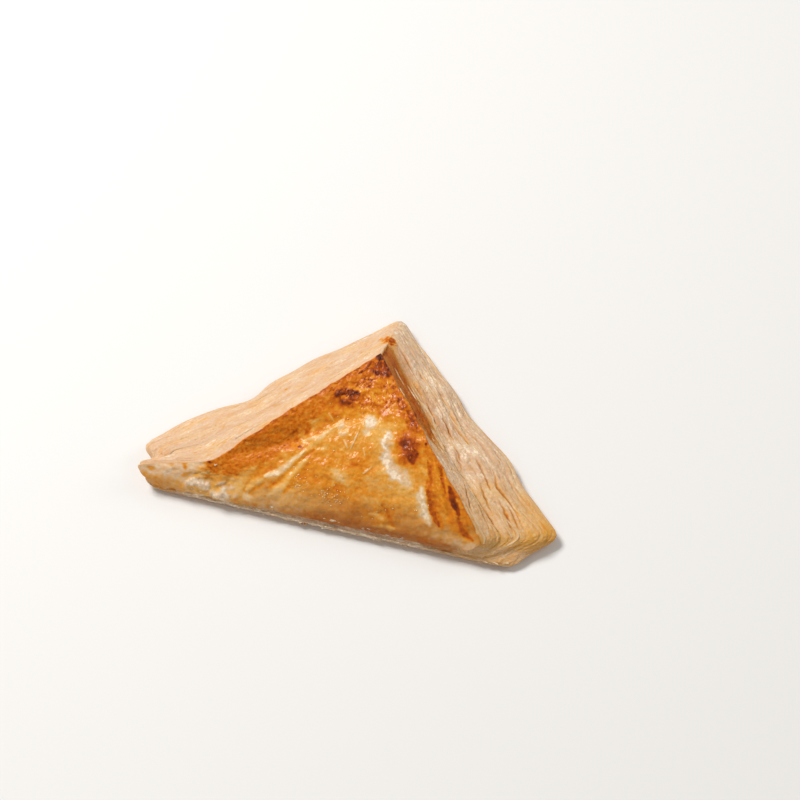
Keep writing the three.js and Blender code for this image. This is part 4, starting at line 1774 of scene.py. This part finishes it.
@dataclass
class LooseLeaves:
    """Thin ledges of leaf that stand out of a cut leg, ragged along their free edge."""

    form: TurnoverForm
    leg: Leg
    seed: int
    stations: int = 44
    thickness: float = 0.3
    root: float = 1.1

    def ledge(self, rng: np.random.Generator, grain: Grain) -> Patch:
        """One ledge as a closed ribbon that narrows to a point at both ends.

        Args:
            rng: draws its place and size.
            grain: makes its edge uneven.

        Returns:
            Its rows.
        """
        length = rng.uniform(*self.leg.length)
        start = rng.uniform(self.leg.start, self.leg.end - length)
        level = rng.uniform(*self.leg.levels)
        reach = rng.uniform(*self.leg.reach)
        tilt = rng.uniform(-0.1, 0.65)
        key = rng.uniform(0, 60)
        t = np.linspace(0, 1, self.stations)
        distance = start + length * t
        levels = level + 0.05 * grain.at(distance / 13, key)
        low = self.form.surface(distance, 1)
        spine = self.form.surface(distance, levels)
        outward = self.form.outward(low)
        lean = outward.copy()
        lean[..., 2] = tilt + 0.3 * grain.at(distance / 7, key + 3)
        lean = unit(lean)
        face = np.cross(unit(np.gradient(spine, axis=0)), lean)
        face *= np.sign(face[..., 2:3] + 1e-9)
        ends = np.sin(np.pi * t) ** 0.6
        uneven = 0.55 + 0.8 * grain.at(distance / 4.5, key) + 0.4 * grain.at(distance / 1.4, key)
        tip = reach * uneven * ends
        tip = np.maximum(tip, 0.05) + 0.35 * ends
        half = 0.5 * self.thickness * ends
        root = -self.root * ends
        section = ((root, half), (0.5 * tip, half), (tip, 0.45 * half), (tip, -0.45 * half))
        section = section + ((0.5 * tip, -half), (root, -half), (root, half))
        points = np.stack([spine + lean * o[:, None] + face * h[:, None] for o, h in section], axis=1)
        points[0], points[-1] = spine[0], spine[-1]
        # Golden at the root and underneath: painted shade where the ledge meets the side and under it; pale
        # on top.
        golden = np.array([0.25, 0, 0.08, 0.12, 0.1, 0.3, 0.25])[None]
        toast = self.leg.toast + golden + 0.06 * grain.at(distance / 5, key)[:, None]
        along = np.broadcast_to(distance[:, None], toast.shape)
        across = np.broadcast_to(np.arange(7) * 0.7, toast.shape)
        egg, dim = np.full_like(toast, 0.2), np.zeros_like(toast)
        return Patch(points, along, across, toast, egg, dim, np.full_like(toast, 0.6))

    def build(self, kneader: Kneader) -> bpy.types.Object:
        """Builds all ledges of the leg as one piece.

        Args:
            kneader: joins the patches.

        Returns:
            The finished piece.
        """
        rng = np.random.default_rng(self.seed)
        grain = Grain(self.seed + 1)
        ledges = [self.ledge(rng, grain) for _ in range(self.leg.count)]
        return kneader.piece(self.leg.name, Patch.stacked(ledges))


# ---------------------------------------- crumbs and grains
@dataclass(frozen=True)
class Crumb:
    """One loose crumb, by its place in plan, its height (on the face if none is given) and its size."""

    x: float
    y: float
    size: float
    toast: float
    z: float | None = None
    egg: float = 0.2


CRUMBS = (
    Crumb(-48.1, 8.2, 0.75, 0.03),
    Crumb(-47.6, 8.6, 0.6, 0.05),
    Crumb(-37.6, 10.7, 0.6, 0.1),
    Crumb(-14.4, -0.6, 0.9, 0.56, z=1.9),
    Crumb(-13.3, -0.7, 0.8, 0.5, z=2.1),
    Crumb(-12.4, -0.5, 0.55, 0.3, z=2),
    Crumb(-5.8, -0.6, 0.5, 0, z=1.9),
    Crumb(7, 3.2, 0.45, 0.03),
    Crumb(23.6, -0.4, 0.5, 0.04, z=2.2),
    Crumb(-28.6, -0.6, 0.5, 0, z=2),
    Crumb(44, 1.2, 0.5, 0.1, z=4.2),
    Crumb(50, 0.2, 0.6, 0.12, z=2.8),
    Crumb(-58, 0.2, 0.6, 0.2, z=3.2),
    Crumb(-64.5, 1, 0.5, 0.12, z=4),
)


@dataclass(frozen=True)
class GlintGrainPatch:
    """A patch of fine pale grains of glaze on the face, partly painted highlights: its middle, its reaches
    and how many there are.
    """

    x: float
    y: float
    reach_x: float
    reach_y: float
    count: int


# Pale glaze grains where highlights sparkle: partly real grains, partly painted highlights.
GLINT_GRAIN_PATCHES = (
    GlintGrainPatch(-17.2, 8.4, 2.2, 1.3, 34),
    GlintGrainPatch(-5.2, 6.4, 4, 1.3, 40),
    GlintGrainPatch(0, 19, 10, 7, 22),
    GlintGrainPatch(-12, 11, 6, 4, 12),
    GlintGrainPatch(12, 5.8, 2.6, 1.4, 10),
    GlintGrainPatch(-2, 32.5, 5, 2, 10),
    GlintGrainPatch(27, 14, 1.4, 4.6, 10),
)


@dataclass
class Crumbs:
    """Small uneven lumps of dough and glaze that lie on the crust and hang at the lip."""

    form: TurnoverForm
    seed: int
    cover: float = 0.3
    squash: float = 0.7

    def lump(self, crumb: Crumb, rng: np.random.Generator, rings: int, sides: int) -> Patch:
        """One closed lump.

        Args:
            crumb: its place, size and bake.
            rng: where its own unevenness comes from.
            rings: rows from its bottom to its top.
            sides: columns round it.

        Returns:
            The lump's patch, drawn to a point at its bottom and its top.
        """
        round_it = np.linspace(0, 2 * math.pi, sides + 1)
        a, t = np.meshgrid(round_it, np.linspace(-math.pi / 2, math.pi / 2, rings))
        ball = np.stack([np.cos(t) * np.cos(a), np.cos(t) * np.sin(a), np.sin(t)], -1)
        key, turn = rng.uniform(0, 60), rng.uniform(0, math.pi)
        grain = Grain(self.seed)
        uneven = 1 + 0.5 * grain.at(1.6 * ball[..., 0] + key, 1.6 * ball[..., 1] + 1.3 * ball[..., 2])
        ball = ball * uneven[..., None] * rng.uniform(0.7, 1.3, 3) * np.array([1, 1, self.squash])
        c, s = math.cos(turn), math.sin(turn)
        ball = ball @ np.array([[c, s, 0], [-s, c, 0], [0, 0, 1]])
        height = crumb.z
        if height is None:
            height = float(self.form.face_height(np.array(crumb.x), np.array(crumb.y))) + self.cover
        points = np.array([crumb.x, crumb.y, height]) + 0.5 * crumb.size * ball
        toast = np.full(a.shape, crumb.toast)
        egg, none = np.full(a.shape, crumb.egg), np.zeros(a.shape)
        return Patch(points, points[..., 0], points[..., 1], toast, egg, none, none + 0.5)

    def crumbs(self, kneader: Kneader) -> bpy.types.Object:
        """Builds the larger crumbs as one piece."""
        rng = np.random.default_rng(self.seed)
        return kneader.piece("crumbs", Patch.stacked([self.lump(crumb, rng, 9, 14) for crumb in CRUMBS]))

    def grains(self, kneader: Kneader) -> bpy.types.Object:
        """Builds the fine pale grains of glaze, partly painted highlights, as one piece.

        Args:
            kneader: joins the patches.

        Returns:
            The finished piece.
        """
        rng = np.random.default_rng(self.seed + 1)
        lumps = []
        for patch in GLINT_GRAIN_PATCHES:
            for _ in range(patch.count):
                x, y = patch.x + patch.reach_x * rng.normal(), patch.y + patch.reach_y * rng.normal()
                size = rng.uniform(0.22, 0.42)
                lumps.append(self.lump(Crumb(x, max(y, 1.5), size, 0, egg=1), rng, 5, 6))
        return kneader.piece("glaze_grains_and_glints", Patch.stacked(lumps))


# ---------------------------------------- finishes
class Wiring:
    """Adds nodes to a node tree and links them."""

    def __init__(self, tree: bpy.types.NodeTree) -> None:
        """Keeps the tree.

        Args:
            tree: the node tree to fill.
        """
        self.tree = tree

    @classmethod
    def group(cls, name: str, inputs: dict[str, str], outputs: dict[str, str]) -> "Wiring":
        """Starts a node group.

        Args:
            name: the group's name.
            inputs: kinds of its inputs, by name.
            outputs: kinds of its outputs, by name.

        Returns:
            The wiring of the new group.
        """
        tree = bpy.data.node_groups.new(name, "ShaderNodeTree")
        for way, sockets in (("INPUT", inputs), ("OUTPUT", outputs)):
            for label, kind in sockets.items():
                tree.interface.new_socket(name=label, in_out=way, socket_type=f"NodeSocket{kind}")
        return cls(tree)

    def feed(self, node: bpy.types.Node, inputs: dict[str | int, object]) -> None:
        """Fills a node's inputs.

        Args:
            node: the node.
            inputs: a socket to link or a value to set, by the input's name or number.
        """
        for key, value in inputs.items():
            if isinstance(value, Socket):
                self.tree.links.new(value, node.inputs[key])
            else:
                node.inputs[key].default_value = value

    def add(self, kind: str, inputs: dict[str | int, object], **settings: object) -> bpy.types.Node:
        """Adds a node.

        Args:
            kind: its type, without the words that all types start with.
            inputs: what its inputs get.
            **settings: its own settings.

        Returns:
            The new node.
        """
        node = self.tree.nodes.new(f"ShaderNode{kind}")
        for name, value in settings.items():
            setattr(node, name, value)
        self.feed(node, inputs)
        return node

    def math(self, operation: str, *values: object) -> Socket:
        """The result of a math node on sockets or numbers."""
        return self.add("Math", dict(enumerate(values)), operation=operation).outputs["Value"]

    def attribute(self, name: str) -> Socket:
        """The value that a piece carries at each point under a name."""
        return self.add("Attribute", {}, attribute_name=name).outputs["Fac"]


Stops = tuple[tuple[float, tuple[float, float, float]], ...]


@dataclass(frozen=True)
class ToastColour:
    """The colours that dough runs through as it browns, dry or egg-washed, with painted shade that
    multiplies them toward a warm tint, as a node group.
    """

    name: str = "toast_colour"
    dry: Stops = (
        (0, (0.92, 0.75, 0.57)),
        (0.07, (0.70, 0.51, 0.345)),
        (0.14, (0.675, 0.438, 0.272)),
        (0.28, (0.655, 0.350, 0.130)),
        (0.44, (0.665, 0.262, 0.036)),
        (0.58, (0.620, 0.162, 0.003)),
        (0.72, (0.370, 0.070, 0.003)),
        (0.86, (0.165, 0.032, 0.005)),
        (1, (0.045, 0.010, 0.004)),
    )
    washed: Stops = (
        (0, (0.95, 0.79, 0.56)),
        (0.07, (0.88, 0.66, 0.38)),
        (0.14, (0.80, 0.53, 0.225)),
        (0.28, (0.77, 0.400, 0.070)),
        (0.44, (0.70, 0.252, 0.008)),
        (0.58, (0.58, 0.137, 0.0012)),
        (0.72, (0.330, 0.050, 0.0012)),
        (0.86, (0.140, 0.020, 0.003)),
        (1, (0.040, 0.008, 0.004)),
    )
    shade: tuple[float, float, float] = (0.58, 0.37, 0.23)

    def group(self) -> bpy.types.NodeTree:
        """The node group, made once.

        Returns:
            The group's tree.
        """
        if self.name in bpy.data.node_groups:
            return bpy.data.node_groups[self.name]
        inputs = {"Toast": "Float", "Egg": "Float", "Dim": "Float"}
        wiring = Wiring.group(self.name, inputs, {"Color": "Color"})
        entry = wiring.tree.nodes.new("NodeGroupInput").outputs
        dry, washed = (self.ramp(wiring, entry["Toast"], stops) for stops in (self.dry, self.washed))
        blended = self.blend(wiring, "MIX", entry["Egg"], dry, washed)
        # Painted shade: the colour is multiplied toward the warm shade tint.
        with_painted_shade = self.blend(wiring, "MULTIPLY", entry["Dim"], blended, (*self.shade, 1))
        wiring.feed(wiring.tree.nodes.new("NodeGroupOutput"), {"Color": with_painted_shade})
        return wiring.tree

    def blend(
        self, wiring: Wiring, kind: str, factor: Socket, first: object, second: object
    ) -> Socket:
        """Mixes two colours by a factor.

        Args:
            wiring: the group's wiring.
            kind: how the colours mix.
            factor: how much of the second colour there is.
            first: the first colour or its socket.
            second: the second colour or its socket.

        Returns:
            The mixed colour's socket.
        """
        node = wiring.add("Mix", {"Factor": factor}, data_type="RGBA", blend_type=kind)
        colours = [i for i, socket in enumerate(node.inputs) if socket.type == "RGBA"]
        wiring.feed(node, dict(zip(colours, (first, second))))
        return next(socket for socket in node.outputs if socket.type == "RGBA")

    def ramp(self, wiring: Wiring, toast: Socket, stops: Stops) -> Socket:
        """One colour ramp over the bake.

        Args:
            wiring: the group's wiring.
            toast: the bake's socket.
            stops: places and colours of the ramp.

        Returns:
            The colour's socket.
        """
        ramp = wiring.add("ValToRGB", {"Fac": toast})
        elements = ramp.color_ramp.elements
        while len(elements) < len(stops):
            elements.new(0.5)
        for element, (place, colour) in zip(elements, stops):
            element.position = place
            element.color = (*colour, 1)
        return ramp.outputs["Color"]


@dataclass(frozen=True)
class FineCrumb:
    """The finest grain of baked dough, as a shared node group: fibres, specks and pores."""

    name: str = "fine_crumb"
    fibre_detail: float = 6.0
    pore_detail: float = 5.0
    pore_factor: float = 1.1
    speck: tuple[float, float] = (0.62, 0.78)

    def group(self) -> bpy.types.NodeTree:
        """The node group, made once.

        Returns:
            The group's tree.
        """
        if self.name in bpy.data.node_groups:
            return bpy.data.node_groups[self.name]
        inputs = {"Fibres": "Vector", "Even": "Vector", "Fineness": "Float"}
        wiring = Wiring.group(self.name, inputs, {"Height": "Float", "Speck": "Float"})
        entry = wiring.tree.nodes.new("NodeGroupInput").outputs
        scales = [wiring.math("MULTIPLY", entry["Fineness"], factor) for factor in (1, self.pore_factor)]
        broad, fine = (
            wiring.add("TexNoise", {"Vector": entry[way], "Scale": scale, "Detail": detail}).outputs["Fac"]
            for way, scale, detail in zip(("Fibres", "Even"), scales, (self.fibre_detail, self.pore_detail))
        )
        low, high = self.speck
        speck = wiring.add("MapRange", {"Value": fine, "From Min": low, "From Max": high}).outputs["Result"]
        sockets = {"Height": wiring.math("ADD", broad, fine), "Speck": speck}
        wiring.feed(wiring.tree.nodes.new("NodeGroupOutput"), sockets)
        return wiring.tree


@dataclass(frozen=True)
class DoughFinish:
    """A baked dough surface: colour by how browned it is, with its own grain and sheen."""

    name: str
    stretch: tuple[float, float, float]
    follows_leaves: bool
    fineness: float
    mottle: float
    bump: float
    roughness: tuple[float, float]
    specular: float
    coat: float
    subsurface: float
    coat_roughness: float = 0.18
    bleed: tuple[float, float, float] = (1.0, 0.7, 0.45)
    bleed_depth: float = 1.2
    crumb_middle: float = 1.0
    crumb_range: tuple[float, float] = (0.7, 1.3)

    def material(self) -> bpy.types.Material:
        """The finished material.

        Returns:
            The new material.
        """
        material = bpy.data.materials.new(self.name)
        material.use_nodes = True
        wiring = Wiring(material.node_tree)
        place = wiring.add("TexCoord", {}).outputs
        course = place["UV" if self.follows_leaves else "Object"]
        turn = wiring.add("Mapping", {"Scale": self.stretch, "Vector": course})
        inputs = {"Fineness": self.fineness, "Fibres": turn.outputs["Vector"], "Even": place["Object"]}
        height = wiring.add("Group", inputs, node_tree=FineCrumb().group()).outputs["Height"]
        # The pieces carry the bake, egg wash, painted shade and grain.
        toast, egg, dim, grit = (wiring.attribute(name) for name in ("toast", "egg", "dim", "grit"))
        uneven = wiring.math("MULTIPLY", wiring.math("SUBTRACT", height, self.crumb_middle), grit)
        toast = wiring.math("MULTIPLY_ADD", uneven, self.mottle, toast)
        inputs = {"Toast": toast, "Egg": egg, "Dim": dim}
        colour = wiring.add("Group", inputs, node_tree=ToastColour().group()).outputs["Color"]
        (low, high), (smoothest, roughest) = self.crumb_range, self.roughness
        inputs = {"Value": height, "From Min": low, "From Max": high}
        inputs |= {"To Min": smoothest, "To Max": roughest}
        rough = wiring.add("MapRange", inputs).outputs["Result"]
        bump = wiring.add("Bump", {"Distance": self.bump * MM, "Strength": grit, "Height": height})
        shader = {
            "Base Color": colour,
            "Roughness": rough,
            "Normal": bump.outputs["Normal"],
            "Subsurface Weight": self.subsurface,
            "Subsurface Radius": self.bleed,
            "Subsurface Scale": self.bleed_depth * MM,
            "Coat Weight": self.coat,
            "Coat Roughness": self.coat_roughness,
            "Specular IOR Level": self.specular,
        }
        principled = material.node_tree.nodes["Principled BSDF"]
        wiring.feed(principled, shader)
        if self.coat:
            wiring.feed(principled, {"Coat Weight": wiring.math("MULTIPLY", egg, self.coat)})
        return material


LEAF_DOUGH = DoughFinish(
    name="leaf_dough",
    stretch=(0.16, 1, 1),
    follows_leaves=True,
    fineness=1100,
    mottle=0.24,
    bump=0.3,
    roughness=(0.62, 0.8),
    specular=0.2,
    coat=0,
    subsurface=0.3,
)
GLAZED_CRUST = DoughFinish(
    name="glazed_crust",
    stretch=(1, 1, 1),
    follows_leaves=False,
    fineness=1000,
    mottle=0.26,
    bump=0.2,
    roughness=(0.34, 0.55),
    specular=0.1,
    coat=0.3,
    subsurface=0.15,
)


def dress(piece: bpy.types.Object, material: bpy.types.Material) -> None:
    """Puts a finish on a piece, makes it ride on the body, and hides the node in its place.

    Args:
        piece: the piece.
        material: its finish.
    """
    piece.data.materials.clear()
    piece.data.materials.append(material)
    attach(piece, BODY)
    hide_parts(NODE)
    log.info("%s: %d faces", piece.name, len(piece.data.polygons))


# ---------------------------------------- studio
@dataclass(frozen=True)
class Studio:
    """A pale floor, soft light from the upper left and behind, and the camera."""

    azimuth: float = 14.0
    elevation: float = 60.0
    distance: float = 0.69
    aim: tuple[float, float, float] = (0.0096, 0.0080, 0.01005)
    lens: float = 85.0

    def build(self) -> None:
        """Builds the floor, the lights, the world and the camera."""
        self.floor()
        self.world()
        self.light("key", (-0.65, 0.27, 1.04), 0.42, 14.6, (1, 0.985, 0.96))
        self.light("fill", (-0.2, -0.9, 0.42), 1, 1, (1, 0.96, 0.9))
        self.light("side", (0.86, 0.5, 0.62), 0.6, 2.5, (1, 0.98, 0.95))
        self.camera()
        bpy.context.scene.view_settings.view_transform = "Standard"

    def back(self) -> Vector:
        """Unit vector from the aim towards the camera."""
        az, el = math.radians(self.azimuth), math.radians(self.elevation)
        return Vector((math.sin(az) * math.cos(el), -math.cos(az) * math.cos(el), math.sin(el)))

    def camera(self) -> None:
        """Adds the camera and makes it the scene's own."""
        bpy.ops.object.camera_add()
        camera = bpy.context.object
        camera.name = "camera"
        camera.location = Vector(self.aim) + self.back() * self.distance
        camera.rotation_euler = self.back().to_track_quat("Z", "Y").to_euler()
        camera.data.lens = self.lens
        camera.data.sensor_width = 36
        bpy.context.scene.camera = camera

    def light(
        self,
        name: str,
        place: tuple[float, float, float],
        size: float,
        power: float,
        colour: tuple[float, float, float],
    ) -> None:
        """Adds a square area light that looks at the pastry.

        Args:
            name: the lamp's name.
            place: where it stands.
            size: its side.
            power: its power.
            colour: its colour.
        """
        bpy.ops.object.light_add(type="AREA", location=place)
        lamp = bpy.context.object
        lamp.name = name
        lamp.rotation_euler = Vector(place).to_track_quat("Z", "Y").to_euler()
        lamp.data.size = size
        lamp.data.energy = power
        lamp.data.color = colour

    def floor(self) -> None:
        """Adds the plain pale floor at the underside."""
        bpy.ops.object.select_all(action="DESELECT")
        bpy.ops.mesh.primitive_plane_add(size=6, location=(0, 0, CAD_BOX[0][2]))
        floor = bpy.context.object
        floor.name = "floor"
        material = bpy.data.materials.new("pale_floor")
        material.use_nodes = True
        shader = material.node_tree.nodes["Principled BSDF"]
        shader.inputs["Base Color"].default_value = (0.8, 0.8, 0.8, 1)
        shader.inputs["Roughness"].default_value = 0.9
        floor.data.materials.append(material)

    def world(self) -> None:
        """Fills the room with soft white light."""
        world = bpy.data.worlds.new("studio")
        world.use_nodes = True
        background = world.node_tree.nodes["Background"]
        background.inputs["Color"].default_value = (1, 0.955, 0.89, 1)
        background.inputs["Strength"].default_value = 0.32
        bpy.context.scene.world = world


def main() -> None:
    """Builds the turnover piece by piece, then the studio round it."""
    logging.basicConfig(level=logging.INFO, format="%(name)s: %(message)s")
    form = TurnoverForm()
    kneader = Kneader(form)
    dough = LEAF_DOUGH.material()
    glaze = GLAZED_CRUST.material()
    lower = LeafedSheet(Sheet.LOWER, form, leaves=7, rows=84, width=19)
    upper = LeafedSheet(Sheet.UPPER, form, leaves=4, rows=52, width=11)
    dress(lower.build(kneader), dough)
    dress(upper.build(kneader), dough)
    dress(GlazedCrust(form).build(kneader), glaze)
    knee, back = form.start_of(Station.LEFT_KNEE), form.start_of(Station.RIGHT_BACK)
    left = Leg("left_loose_leaves", 2, knee - 14, 9, (0, 0.2), (12, 34), 0.12)
    right = Leg("right_loose_leaves", back - 14, form.perimeter - 2, 26, (0.1, 0.7), (8, 30), 0.1)
    dress(LooseLeaves(form, left, seed=5).build(kneader), dough)
    dress(LooseLeaves(form, right, seed=9).build(kneader), dough)
    fold = (form.start_of(Station.LEFT_FRONT) - 4, form.start_of(Station.RIGHT_FRONT) + 4)
    frays = Leg("lip_frays", *fold, 60, (0.3, 1), (1.5, 9), 0, levels=(0.98, 1.35))
    dress(LooseLeaves(form, frays, seed=3, stations=24).build(kneader), dough)
    shreds = Leg("lip_shreds", *fold, 70, (0.8, 1.7), (0.6, 2), 0, levels=(0.9, 1.3))
    dress(LooseLeaves(form, shreds, seed=4, stations=10, thickness=0.2).build(kneader), dough)
    dress(Crumbs(form, seed=6).crumbs(kneader), dough)
    dress(Crumbs(form, seed=8).grains(kneader), glaze)
    Studio().build()


if __name__ == "__main__":
    main()
